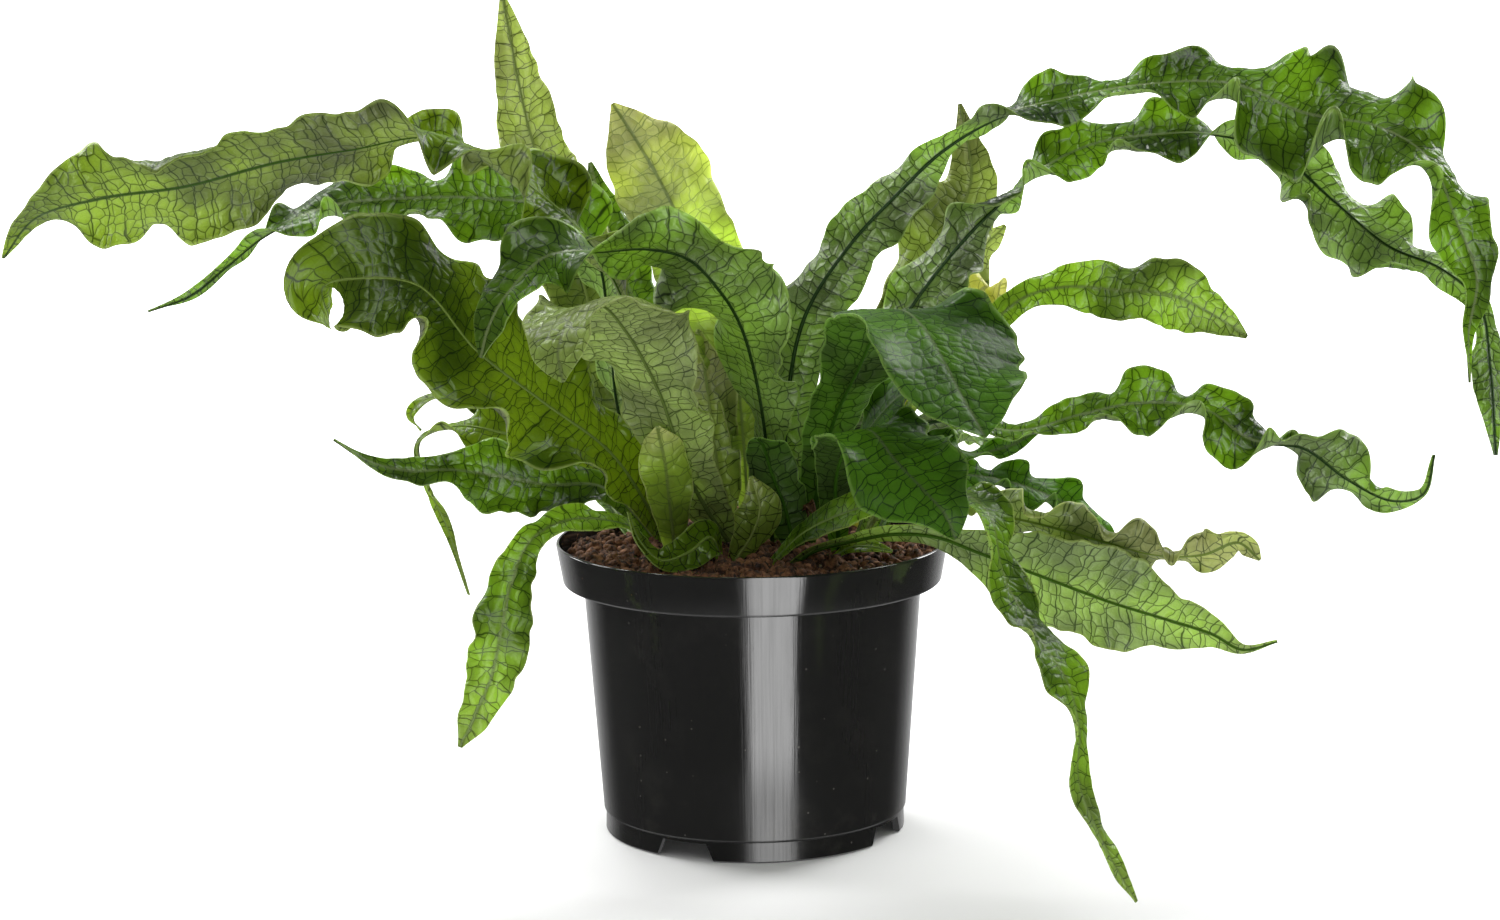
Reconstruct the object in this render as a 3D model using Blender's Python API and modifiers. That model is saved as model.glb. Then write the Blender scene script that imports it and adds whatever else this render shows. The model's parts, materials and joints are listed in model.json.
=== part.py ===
"""Potted crocodile fern: strap-shaped ruffled fronds in a black nursery pot.

Metres, +Z up, origin at the middle of the pot's foot. The frond routes are in millimetres from the
middle of the pot's rim, so the plant follows the pot when the pot changes.
"""
import bmesh
import bpy
import numpy as np
from math import cos, pi, radians, sin
from mathutils import Matrix

# --- driving dimensions, metres ---
potHeight = 0.1424
rimRadius = 0.095
collarHeight = 0.0197
collarTaper = 0.0032       # how far the collar draws in from its top to its lower edge
collarStep = 0.0097        # how far the body stands in under the collar
bodyTaper = 0.009          # how much narrower the body is at its foot
potWall = 0.0015
rimRound = 0.0007
footHeight = 0.0085        # ring that the pot stands on
footWidth = 0.0035
footNotches = 4
notchAngle = radians(22)   # width of a notch at the floor
notchNarrowing = 0.72      # its width at the top, as a share of that
firstNotch = radians(-118) # the notch at the front left
drainHoles = 8
drainRadius = 0.0055
drainInset = 0.0271        # circle of the drain holes, in from the foot's outside
soilDrop = 0.007           # soil's edge below the rim
soilMound = 0.003          # how much higher the soil is in the middle
frondThickness = 0.0013
touchGap = 0.0003          # left between pieces that touch
rimClearance = 0.0010      # fronds that pass the pot's wall
turnSteps = 56
fernScale = 1.0            # size of the fronds about the middle of the soil
routeRimRadius = 0.095     # rim radius that the routes below were laid out for

mm = 0.001
rowsPerWave = 3.4          # rows of the blade's mesh for each ruffle
leastHalfWidth = 0.6       # of a frond, millimetres
stalkHalfWidth = 3.5       # of the widest stalk where it leaves the soil, millimetres
ruffleStart = 0.1          # where the ruffles start, as a share of the length
ruffleGrowth = 0.25        # and the share over which they grow to full size
tipShare = 0.08            # the share over which they die away at the tip
phaseStep = 2.4            # how far a frond's ruffles are turned against the one before
edgeLag = 2.7              # how far the left edge's ruffles lag behind the right edge's

# Each frond: (colour, ruffle in degrees, waves, cup in degrees, route). A route starts with its foot
# in the soil, as (x, y). Each further point is (x, y, height over the rim, half width, roll).
fronds = {
    "long_left_frond": ("mid", 62, 7, 5, [
        (-30, 5), (-45, 0, 70, 9, 10), (-70, -8, 139, 18, 20), (-110, -14, 179, 26, -25),
        (-146, -18, 198, 26, 20), (-187, -20, 193, 23, 35), (-223, -18, 187, 26, 60),
        (-266, -14, 176, 31, 62), (-308, -8, 170, 27, 60), (-341, -2, 160, 14, 30),
        (-357, 0, 141, 1, 30)]),
    "twisted_left_frond": ("dark", 62, 8, 5, [
        (-35, 25), (-63, 40, 53, 14, 20), (-68, 45, 97, 18, 30), (-75, 48, 136, 20, 20),
        (-94, 50, 155, 24, -35), (-129, 54, 161, 22, -52), (-169, 58, 161, 18, -50),
        (-206, 56, 158, 20, -42), (-237, 46, 145, 10, 10), (-254, 40, 132, 5, 30),
        (-273, 38, 117, 3, 60), (-294, 35, 110, 1, 0)]),
    "broad_left_frond": ("mid", 50, 5, 8, [
        (-40, 16), (-67, -20, 46, 19, -58), (-99, -38, 75, 31, -62), (-128, -50, 101, 33, -60),
        (-154, -58, 133, 32, -55), (-182, -62, 137, 27, -68), (-199, -48, 131, 19, -115),
        (-198, -34, 115, 8, -155)]),
    "low_left_frond": ("dark", 48, 4, 5, [
        (-45, 20), (-72, 5, 25, 8, -60), (-98, -8, 29, 16, -75), (-123, -15, 35, 20, -85),
        (-144, -20, 39, 8, -40), (-163, -22, 39, 8, -60), (-181, -25, 44, 4, -30),
        (-198, -28, 56, 1, 0)]),
    "curled_left_frond": ("mid", 42, 5, 5, [
        (-48, 38), (-84, 46, 37, 11, -40), (-119, 60, 42, 15, -60), (-147, 70, 45, 12, -20),
        (-166, 75, 37, 6, -10), (-165, 78, 19, 8, -50), (-154, 80, -8, 4, -60),
        (-144, 82, -44, 1, -60)]),
    "wispy_left_frond": ("mid", 35, 4, 5, [
        (-46, 56), (-95, 80, 41, 6, -30), (-128, 95, 50, 9, -40), (-150, 100, 56, 4, -20),
        (-166, 102, 53, 4, -40), (-173, 104, 45, 3, -60), (-168, 105, 37, 1, 0)]),
    "over_rim_left_frond": ("mid", 35, 5, 5, [
        (-45, -25), (-54, -36, 11, 6, -20), (-66, -46, 18, 8, -30), (-87, -58, 21, 8, -30),
        (-103, -69, 14, 7, -40), (-112, -78, -4, 11, -50), (-117, -84, -25, 14, -60),
        (-122, -88, -47, 12, -60), (-130, -92, -65, 8, -60), (-137, -94, -79, 1, -60)]),
    "hooked_soil_leaf": ("mid", 15, 1, 8, [
        (-15, -27), (-20, -38, 8, 10, -50), (-30, -49, 3, 9, -60), (-43, -57, 1, 6, -60),
        (-53, -57, 11, 4, -60), (-58, -54, 24, 1, -60)]),
    "spoon_leaf": ("pale", 12, 2, -5, [
        (-37, -13), (-39, -22, 20, 10, 8), (-41, -32, 44, 12, 8), (-43, -36, 55, 8, 8),
        (-44, -40, 62, 1, 8)]),
    "grey_arching_frond": ("grey", 24, 3, 0, [
        (-8, 2), (-20, -7, 14, 12, 5), (-30, -20, 36, 16, 5), (-43, -52, 82, 23, 8),
        (-58, -88, 117, 30, 12), (-68, -113, 131, 30, 18), (-78, -132, 130, 28, 20),
        (-85, -146, 115, 18, 10), (-83, -150, 101, 1, 5)]),
    "centre_arching_frond": ("dark", 34, 5, 5, [
        (11, 6), (8, -8, 50, 15, -6), (3, -21, 84, 21, 2), (-4, -37, 110, 26, 18),
        (-14, -54, 129, 28, 34), (-28, -66, 145, 25, 42), (-46, -74, 151, 23, 34),
        (-67, -80, 151, 22, 5), (-92, -82, 149, 20, -25), (-111, -89, 132, 14, -20),
        (-119, -92, 118, 8, -20), (-123, -94, 104, 1, -20)]),
    "small_front_leaf": ("pale", 8, 1, -8, [
        (-9, -29), (0, -33, 8, 10, 20), (4, -35, 21, 11, 20), (0, -37, 37, 1, 20)]),
    "dark_front_leaf": ("dark", 16, 2, 5, [
        (21, -20), (16, -22, 19, 11, 0), (10, -25, 36, 13, -5), (6, -31, 51, 9, -10),
        (3, -38, 56, 1, -10)]),
    "pale_inner_leaf": ("pale", 18, 3, 5, [
        (-12, 26), (-17, 30, 34, 12, 0), (-21, 34, 68, 14, 0), (-25, 38, 97, 1, 0)]),
    "tall_pale_frond": ("pale", 22, 7, 0, [
        (-42, 46), (-55, 56, 26, 10, 0), (-66, 66, 54, 15, 0), (-73, 74, 76, 18, 0),
        (-83, 84, 115, 19, 0), (-94, 93, 150, 20, 0), (-107, 101, 182, 17, 5),
        (-114, 106, 212, 12, 5), (-118, 109, 235, 8, 0), (-122, 111, 258, 1, 0)]),
    "second_pale_frond": ("pale", 20, 6, 0, [
        (-1, 30), (-4, 34, 48, 8, 20), (-7, 40, 77, 14, 20), (-17, 46, 111, 21, 10),
        (-30, 52, 141, 24, 5), (-42, 58, 166, 26, 5), (-54, 62, 187, 18, 10),
        (-66, 64, 206, 1, 20)]),
    "back_left_leaf": ("dark", 34, 5, 5, [
        (-18, 72), (-51, 104, 82, 12, 0), (-71, 120, 137, 12, 0), (-80, 126, 171, 1, 0)]),
    "long_right_frond": ("dark", 66, 10, 5, [
        (18, 10), (18, 14, 56, 12, -120), (27, 20, 104, 18, -112), (49, 26, 138, 16, -118),
        (73, 30, 163, 15, -112), (95, 33, 184, 9, -60), (122, 35, 200, 15, 10),
        (157, 36, 209, 16, 26), (196, 34, 215, 15, 30), (235, 26, 215, 22, 50),
        (267, 12, 202, 31, 62), (301, -4, 196, 29, 40), (322, -20, 182, 20, 30),
        (333, -32, 154, 16, 60), (342, -38, 128, 12, 60), (338, -42, 102, 4, 40),
        (339, -44, 79, 1, 0)]),
    "second_right_frond": ("dark", 62, 10, 5, [
        (31, 24), (54, 40, 61, 12, -135), (77, 52, 99, 17, -128), (97, 60, 125, 17, -120),
        (117, 66, 147, 16, -60), (140, 70, 167, 15, 25), (170, 72, 182, 14, 50),
        (202, 70, 187, 17, 40), (234, 66, 187, 12, -10), (261, 59, 178, 14, -75),
        (287, 50, 155, 21, -125), (312, 36, 134, 19, -130), (336, 22, 124, 10, -130),
        (352, 10, 109, 6, -120), (356, -2, 79, 9, -100), (358, -10, 38, 1, -100)]),
    "pale_right_frond": ("pale", 26, 4, 0, [
        (34, 44), (60, 75, 60, 12, 0), (83, 95, 103, 16, -10), (99, 105, 132, 22, -15),
        (113, 112, 160, 14, -10), (111, 116, 183, 6, -10), (108, 120, 199, 1, 0)]),
    "back_right_pale_leaf": ("pale", 26, 4, 5, [
        (44, 58), (72, 92, 43, 9, 20), (98, 110, 91, 13, 30), (115, 116, 121, 14, 35),
        (131, 118, 137, 1, 30)]),
    "yellow_leaf": ("yellow", 18, 2, 5, [
        (47, 40), (69, 58, 47, 5, 0), (95, 69, 88, 7, 10), (108, 75, 102, 13, 15),
        (120, 80, 111, 11, 20), (128, 84, 103, 1, 20)]),
    "broad_right_frond": ("dark", 18, 3, 5, [
        (26, -4), (38, -28, 58, 13, -8), (51, -54, 92, 18, -8), (60, -76, 115, 25, -6),
        (69, -96, 124, 35, -5), (78, -115, 119, 45, -4), (86, -133, 107, 44, -4),
        (93, -149, 94, 31, -4), (99, -160, 84, 17, -4), (103, -167, 77, 1, -4)]),
    "low_dark_right_frond": ("dark", 20, 3, 5, [
        (42, -12), (40, -38, 36, 10, -6), (47, -72, 61, 19, 0), (55, -100, 69, 25, 6),
        (66, -122, 58, 28, 8), (78, -136, 47, 23, 8), (87, -143, 37, 13, 8),
        (91, -146, 27, 1, 8)]),
    "upper_right_frond": ("mid", 30, 6, 0, [
        (50, 18), (76, 30, 57, 4, 20), (109, 24, 90, 6, 40), (131, 14, 113, 8, 60),
        (152, 6, 120, 10, 60), (178, 0, 119, 16, 62), (202, -5, 117, 17, 65),
        (221, -8, 108, 11, 65), (238, -10, 97, 1, 60)]),
    "wavy_right_frond": ("dark", 58, 9, 5, [
        (52, 4), (84, -5, 56, 7, -50), (129, -10, 53, 7, 30), (158, -14, 61, 10, 40),
        (186, -18, 67, 17, 50), (217, -22, 64, 13, 30), (238, -25, 50, 18, 50),
        (263, -28, 46, 15, -60), (284, -30, 31, 17, -60), (305, -32, 21, 7, -50),
        (319, -33, 24, 4, -40), (324, -34, 43, 1, -40)]),
    "twisted_right_leaf": ("dark", 42, 4, 5, [
        (60, 26), (78, 42, 27, 8, 20), (94, 52, 34, 12, 30), (111, 58, 30, 7, 10),
        (129, 62, 33, 5, 60), (145, 64, 41, 1, 60)]),
    "shaded_right_frond": ("dark", 45, 5, 5, [
        (60, 42), (84, 56, 15, 7, 20), (107, 64, 18, 9, 30), (134, 70, 12, 13, 40),
        (155, 74, 3, 14, 40), (173, 76, -7, 10, 40), (185, 77, -21, 1, 40)]),
    "grey_right_frond": ("pale", 52, 7, 5, [
        (50, -6), (65, -22, 19, 9, 20), (90, -38, 23, 10, 0), (117, -52, 20, 13, -50),
        (144, -62, 15, 15, -60), (167, -68, 9, 15, -60), (190, -73, 4, 13, -40),
        (210, -77, 5, 10, -50), (226, -80, 11, 12, -60), (236, -82, 3, 1, -60)]),
    "bright_right_frond": ("mid", 13, 4, 0, [
        (17, -38), (29, -41, 2, 6, -20), (46, -44, 7, 6, -30), (67, -48, 11, 6, -50),
        (87, -52, 10, 7, -60), (107, -56, 3, 14, -60), (140, -63, -9, 26, -70),
        (167, -67, -19, 25, -70), (193, -70, -27, 18, -72), (215, -73, -34, 8, -75),
        (229, -75, -41, 3, -60), (245, -76, -37, 1, -40)]),
    "long_drooping_frond": ("mid", 22, 7, 5, [
        (8, -36), (24, -46, 11, 8, 48), (44, -58, 23, 11, 48), (65, -72, 31, 11, 36),
        (83, -88, 36, 12, 20), (98, -108, 40, 12, 0), (108, -128, 33, 14, -10),
        (113, -143, 9, 13, -10), (126, -156, -14, 15, -10), (139, -168, -33, 14, -10),
        (144, -177, -53, 9, -15), (143, -184, -74, 8, -15), (152, -190, -98, 8, -15),
        (160, -194, -114, 6, -15), (168, -196, -127, 1, -15)]),
    "tiny_soil_leaf": ("mid", 8, 1, 5, [
        (38, -24), (47, -27, 0, 5, 20), (58, -31, 1, 5, 20), (67, -32, -1, 1, 20)]),
    "shaded_inner_leaf": ("dark", 22, 3, 5, [
        (42, 8), (52, 9, 42, 13, 10), (70, 7, 66, 18, 20), (84, 5, 76, 13, 20),
        (94, 4, 80, 1, 20)]),
    "gap_leaf": ("mid", 26, 3, 5, [
        (14, 46), (18, 65, 47, 11, 0), (19, 78, 76, 11, 0), (20, 82, 88, 1, 0)]),
    "back_frond": ("mid", 30, 5, 5, [
        (4, 66), (5, 92, 54, 14, 0), (1, 124, 88, 20, 0), (-6, 156, 102, 20, 0),
        (-12, 184, 95, 12, 0), (-15, 198, 78, 1, 0)]),
    "back_left_frond": ("mid", 34, 5, 5, [
        (-32, 70), (-50, 103, 45, 13, 0), (-70, 136, 74, 19, 0), (-93, 168, 83, 19, 0),
        (-111, 194, 68, 1, 0)]),
    "back_right_frond": ("dark", 34, 5, 5, [
        (26, 74), (52, 108, 40, 13, 0), (76, 140, 62, 18, 0), (100, 172, 66, 17, 0),
        (120, 196, 52, 1, 0)]),
    "low_back_left_frond": ("dark", 34, 4, 5, [
        (-58, 40), (-86, 100, 18, 9, 0), (-108, 136, 30, 14, 0), (-128, 166, 32, 13, 0),
        (-147, 192, 20, 1, 0)]),
    "low_back_right_frond": ("dark", 34, 4, 5, [
        (58, 58), (90, 92, 22, 9, 0), (114, 118, 28, 12, 0), (138, 142, 16, 1, 0)]),
    "withered_scrap": ("brown", 40, 2, 20, [
        (25, -10), (26, -17, 12, 2, 0), (27, -22, 21, 3, 30), (30, -26, 17, 1, 40)]),
}

# colour, roughness
finishes = {
    "mid": ((0.075, 0.19, 0.022), 0.40),
    "dark": ((0.030, 0.10, 0.018), 0.35),
    "pale": ((0.30, 0.42, 0.07), 0.50),
    "grey": ((0.17, 0.25, 0.09), 0.50),
    "yellow": ((0.50, 0.52, 0.13), 0.50),
    "brown": ((0.16, 0.075, 0.035), 0.85),
    "black plastic": ((0.010, 0.010, 0.011), 0.22),
    "peat": ((0.065, 0.026, 0.014), 0.95),
}

for obj in list(bpy.data.objects):
    bpy.data.objects.remove(obj, do_unlink=True)


def newCollection(name):
    made = bpy.data.collections.new(name)
    bpy.context.scene.collection.children.link(made)
    return made


plant = newCollection("potted_fern")
cutters = newCollection("cutters")


def materialOf(name):
    material = bpy.data.materials.get(name)
    if material is None:
        colour, roughness = finishes[name]
        material = bpy.data.materials.new(name)
        material.use_nodes = True
        shader = material.node_tree.nodes["Principled BSDF"]
        shader.inputs["Base Color"].default_value = (*colour, 1)
        shader.inputs["Roughness"].default_value = roughness
        shader.inputs["Metallic"].default_value = 0
        material.diffuse_color = (*colour, 1)
    return material


def addObject(name, bm, finish, collection=plant):
    mesh = bpy.data.meshes.new(name)
    bm.to_mesh(mesh)
    bm.free()
    obj = bpy.data.objects.new(name, mesh)
    collection.objects.link(obj)
    mesh.materials.append(materialOf(finish))
    mesh.shade_smooth()
    mesh.set_sharp_from_angle(angle=radians(40))
    return obj


def addCutter(name, bm):
    obj = addObject(name, bm, "black plastic", cutters)
    obj.hide_render = True
    obj.display_type = "WIRE"
    return obj


def cut(obj, cutter):
    modifier = obj.modifiers.new("cut " + cutter.name, "BOOLEAN")
    modifier.operation = "DIFFERENCE"
    modifier.solver = "EXACT"
    modifier.object = cutter


def turned(name, profile, finish):
    """A profile of (radius, height) points turned round the Z axis."""
    bm = bmesh.new()
    points = [bm.verts.new((radius, 0, height)) for radius, height in profile]
    for a, b in zip(points, points[1:]):
        bm.edges.new((a, b))
    obj = addObject(name, bm, finish)
    screw = obj.modifiers.new("turn", "SCREW")
    screw.steps = turnSteps
    screw.render_steps = turnSteps
    screw.use_merge_vertices = True
    screw.merge_threshold = 0.00005
    return obj


# --- pot ---
bodyTopRadius = rimRadius - collarTaper - collarStep
bodyFootRadius = bodyTopRadius - bodyTaper
drainCircle = bodyFootRadius - drainInset
seamHeight = footHeight + potWall
collarFoot = potHeight - collarHeight
collarLowerRadius = rimRadius - collarTaper


def bodyRadius(height):
    """Outer radius of the tapered body, from the seam over its foot up to the collar."""
    return bodyFootRadius + (bodyTopRadius - bodyFootRadius) * height / collarFoot


def innerRadius(height):
    """Inner radius of the pot's wall, which steps out behind the collar."""
    if height < collarFoot + potWall:
        return bodyRadius(height) - potWall
    rise = (height - collarFoot) / collarHeight
    return collarLowerRadius + collarTaper * rise - potWall


def makePot():
    ledge = collarFoot + potWall
    ledgeRise = 0.0001
    profile = [
        (0, seamHeight + potWall),
        (innerRadius(seamHeight) - potWall, seamHeight + potWall),
        (innerRadius(seamHeight + 2 * potWall), seamHeight + 2 * potWall),
        (innerRadius(collarFoot), ledge - ledgeRise),
        (innerRadius(ledge), ledge),
        (innerRadius(potHeight), potHeight - rimRound),
        (rimRadius - potWall + rimRound / 2, potHeight),
        (rimRadius - rimRound, potHeight),
        (rimRadius, potHeight - rimRound),
        (collarLowerRadius, collarFoot),
        (bodyRadius(collarFoot), collarFoot),
        (bodyRadius(seamHeight), seamHeight),
        (bodyRadius(seamHeight) - rimRound, seamHeight - rimRound),
        (bodyFootRadius, 0),
        (bodyFootRadius - footWidth, 0),
        (bodyFootRadius - footWidth, seamHeight),
        (0, seamHeight),
    ]
    pot = turned("pot", profile, "black plastic")
    cut(pot, notchCutter())
    cut(pot, drainCutter())
    return pot


def notchCutter():
    """Wedges that leave the foot ring as separate feet with slanted ends."""
    bm = bmesh.new()
    past = 0.01
    reach = bodyFootRadius + past
    depth = 2 * past
    below = -0.002
    low = 2 * reach * np.tan(notchAngle / 2)
    for turn in range(footNotches):
        made = bmesh.ops.create_cube(bm, size=1)["verts"]
        for vert in made:
            width = low if vert.co.z < 0 else low * notchNarrowing
            vert.co.x = reach - depth + (vert.co.x + 0.5) * depth
            vert.co.y *= width
            vert.co.z = below if vert.co.z < 0 else footHeight
        angle = firstNotch + turn * 2 * pi / footNotches
        bmesh.ops.rotate(bm, verts=made, cent=(0, 0, 0), matrix=Matrix.Rotation(angle, 3, "Z"))
    bmesh.ops.recalc_face_normals(bm, faces=bm.faces)
    return addCutter("notches", bm)


def drainCutter():
    bm = bmesh.new()
    for turn in range(drainHoles):
        angle = 2 * pi * turn / drainHoles
        place = Matrix.Translation((drainCircle * cos(angle), drainCircle * sin(angle), seamHeight))
        bmesh.ops.create_cone(bm, cap_ends=True, segments=12, radius1=drainRadius,
                              radius2=drainRadius, depth=4 * potWall, matrix=place)
    return addCutter("drains", bm)


# --- soil ---
soilEdge = potHeight - soilDrop
soilRadius = innerRadius(soilEdge) - touchGap


def soilTop(radius):
    return soilEdge + soilMound * max(0.0, 1 - (radius / soilRadius) ** 2)


def makeSoil():
    ledge = collarFoot + potWall
    foot = seamHeight + potWall + touchGap
    profile = [(soilRadius * part, soilTop(soilRadius * part)) for part in (0, 0.35, 0.7, 1)]
    profile += [
        (innerRadius(ledge) - touchGap, ledge + touchGap),
        (innerRadius(collarFoot) - touchGap, ledge + touchGap),
        (innerRadius(foot + 2 * potWall) - touchGap, foot + 2 * potWall),
        (innerRadius(foot) - 2 * potWall - touchGap, foot),
        (0, foot),
    ]
    return turned("soil", profile, "peat")


# --- fronds ---
def splineThrough(places, values, wanted):
    """Cubic Hermite curve through values at places, read at wanted."""
    slopes = np.gradient(values, places, axis=0)
    index = np.clip(np.searchsorted(places, wanted, side="right") - 1, 0, len(places) - 2)
    step = places[index + 1] - places[index]
    t = (wanted - places[index]) / step
    if values.ndim > 1:
        step, t = step[:, None], t[:, None]
    return ((2 * t**3 - 3 * t**2 + 1) * values[index] + (t**3 - 2 * t**2 + t) * step * slopes[index]
            + (3 * t**2 - 2 * t**3) * values[index + 1] + (t**3 - t**2) * step * slopes[index + 1])


def unit(vectors):
    return vectors / np.linalg.norm(vectors, axis=1)[:, None]


def stationsOf(route):
    """The route as rows of x, y, z, half width and roll, in metres and radians.

    A foot moves less with fernScale the nearer it is to the pot's wall, so it stays in the soil.
    """
    (footX, footY), first = route[0], route[1]
    stalk = min(stalkHalfWidth, 0.5 * first[3] + 1)
    table = np.array([(footX, footY, 0, stalk, first[4])] + list(route[1:]), float)
    table[:, :4] *= mm * rimRadius / routeRimRadius
    spread = 1 - np.hypot(*table[0, :2]) / soilRadius
    table[0, :2] *= 1 + (fernScale - 1) * spread
    table[0, 2] = soilTop(np.hypot(*table[0, :2]))
    table[1:, 2] += potHeight - soilTop(0)
    table[1:, :4] *= fernScale
    table[1:, 2] += soilTop(0)
    table[:, 4] = np.radians(table[:, 4])
    return table


def midrib(route, rows):
    table = stationsOf(route)
    steps = np.linalg.norm(np.diff(table[:, :3], axis=0), axis=1)
    places = np.concatenate([[0], np.cumsum(np.sqrt(steps))])
    fine = np.linspace(0, places[-1], 400)
    along = splineThrough(places, table[:, :3], fine)
    length = np.concatenate([[0], np.cumsum(np.linalg.norm(np.diff(along, axis=0), axis=1))])
    wanted = np.interp(np.linspace(0, length[-1], rows), length, fine)
    line = splineThrough(places, table[:, :3], wanted)
    half = np.maximum(splineThrough(places, table[:, 3], wanted), leastHalfWidth * mm)
    roll = splineThrough(places, table[:, 4], wanted)
    ahead = unit(np.gradient(line, axis=0))
    heading = table[-1, :2] - table[0, :2]
    level = np.array([-heading[1], heading[0], 0]) / np.linalg.norm(heading)
    side = unit(level - (ahead @ level)[:, None] * ahead)
    up = np.cross(ahead, side)
    turn = roll[:, None]
    return (line, np.cos(turn) * side + np.sin(turn) * up,
            np.cos(turn) * up - np.sin(turn) * side, half)


def frondSheet(number, ruffle, waves, cup, route):
    """Rows of (left edge, midrib, right edge) points of the thin blade's middle surface."""
    rows = max(8, round(rowsPerWave * waves) + 4)
    line, side, up, half = midrib(route, rows)
    a = np.linspace(0, 1, rows)
    swell = np.clip((a - ruffleStart) / ruffleGrowth, 0, 1) * np.clip(1.3 * half / half.max(), 0, 1)
    swell *= np.sqrt(np.clip((1 - a) / tipShare, 0, 1))
    sheet = np.zeros((rows, 3, 3))
    sheet[:, 1] = line
    for column, hand in ((0, -1), (2, 1)):
        wave = 2 * pi * waves * a + phaseStep * number + (0 if hand > 0 else edgeLag)
        tilt = radians(cup) + radians(ruffle) * np.sin(wave) * swell
        sheet[:, column] = (line + hand * (half * np.cos(tilt))[:, None] * side
                            + (half * np.sin(tilt))[:, None] * up)
    return sheet


def keepClear(points):
    """Lifts points off the soil and the floor, and moves them off the pot's wall."""
    skin = frondThickness / 2
    for point in points.reshape(-1, 3):
        radius = np.hypot(point[0], point[1])
        over = potHeight + rimClearance + skin
        inside = rimRadius - potWall - rimClearance - skin
        outside = rimRadius + rimClearance + skin
        if radius < inside:
            point[2] = max(point[2], soilTop(radius) + touchGap + skin)
        elif radius < outside and point[2] > potHeight - 4 * rimClearance:
            point[2] = max(point[2], over)
        elif radius < outside:
            point[:2] *= outside / radius
        point[2] = max(point[2], touchGap + skin)
    return points


def makeFrond(name, number):
    finish, ruffle, waves, cup, route = fronds[name]
    sheet = keepClear(frondSheet(number, ruffle, waves, cup, route))
    bm = bmesh.new()
    grid = [[bm.verts.new(point) for point in row] for row in sheet]
    for low, high in zip(grid, grid[1:]):
        for column in range(2):
            bm.faces.new((low[column], low[column + 1], high[column + 1], high[column]))
    obj = addObject(name, bm, finish)
    solidify = obj.modifiers.new("thickness", "SOLIDIFY")
    solidify.thickness = frondThickness
    solidify.offset = 0
    return obj


makePot()
makeSoil()
for number, name in enumerate(fronds):
    makeFrond(name, number)
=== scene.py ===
import json
from math import cos, pi, radians, sin

import bmesh
import bpy
import numpy as np
from mathutils import Matrix, Vector, noise

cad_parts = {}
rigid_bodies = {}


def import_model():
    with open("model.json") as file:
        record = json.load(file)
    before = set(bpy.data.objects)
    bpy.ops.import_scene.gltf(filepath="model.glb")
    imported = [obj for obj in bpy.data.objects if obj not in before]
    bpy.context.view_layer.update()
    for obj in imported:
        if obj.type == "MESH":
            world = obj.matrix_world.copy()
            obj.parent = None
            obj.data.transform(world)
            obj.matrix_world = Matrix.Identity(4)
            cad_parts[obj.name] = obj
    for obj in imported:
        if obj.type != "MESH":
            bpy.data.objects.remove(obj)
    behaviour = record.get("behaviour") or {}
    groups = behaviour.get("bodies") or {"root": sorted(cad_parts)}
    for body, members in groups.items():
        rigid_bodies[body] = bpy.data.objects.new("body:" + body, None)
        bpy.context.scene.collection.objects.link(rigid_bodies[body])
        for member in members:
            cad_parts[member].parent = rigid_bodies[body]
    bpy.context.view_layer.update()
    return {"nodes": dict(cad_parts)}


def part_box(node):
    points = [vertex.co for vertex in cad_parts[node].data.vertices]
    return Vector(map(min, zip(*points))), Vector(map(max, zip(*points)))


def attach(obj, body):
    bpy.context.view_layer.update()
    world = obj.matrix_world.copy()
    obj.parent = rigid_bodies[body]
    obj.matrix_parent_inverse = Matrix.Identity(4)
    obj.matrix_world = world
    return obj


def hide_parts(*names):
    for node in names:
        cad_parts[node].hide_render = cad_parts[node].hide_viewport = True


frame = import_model()
mm = 0.001
collection = bpy.context.scene.collection
print("stage: frame loaded,", len(frame["nodes"]), "nodes")


class Value:
    # a node's output; sums and products of it add math nodes
    def __init__(self, nodes, socket):
        self.nodes, self.socket = nodes, socket

    def __add__(self, other):
        return self.nodes.math("ADD", self, other)

    def __sub__(self, other):
        return self.nodes.math("SUBTRACT", self, other)

    def __rsub__(self, other):
        return self.nodes.math("SUBTRACT", other, self)

    def __mul__(self, other):
        return self.nodes.math("MULTIPLY", self, other)

    def __truediv__(self, other):
        return self.nodes.math("DIVIDE", self, other)

    def __neg__(self):
        return self.nodes.math("MULTIPLY", self, -1.0)

    __radd__, __rmul__ = __add__, __mul__


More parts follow.
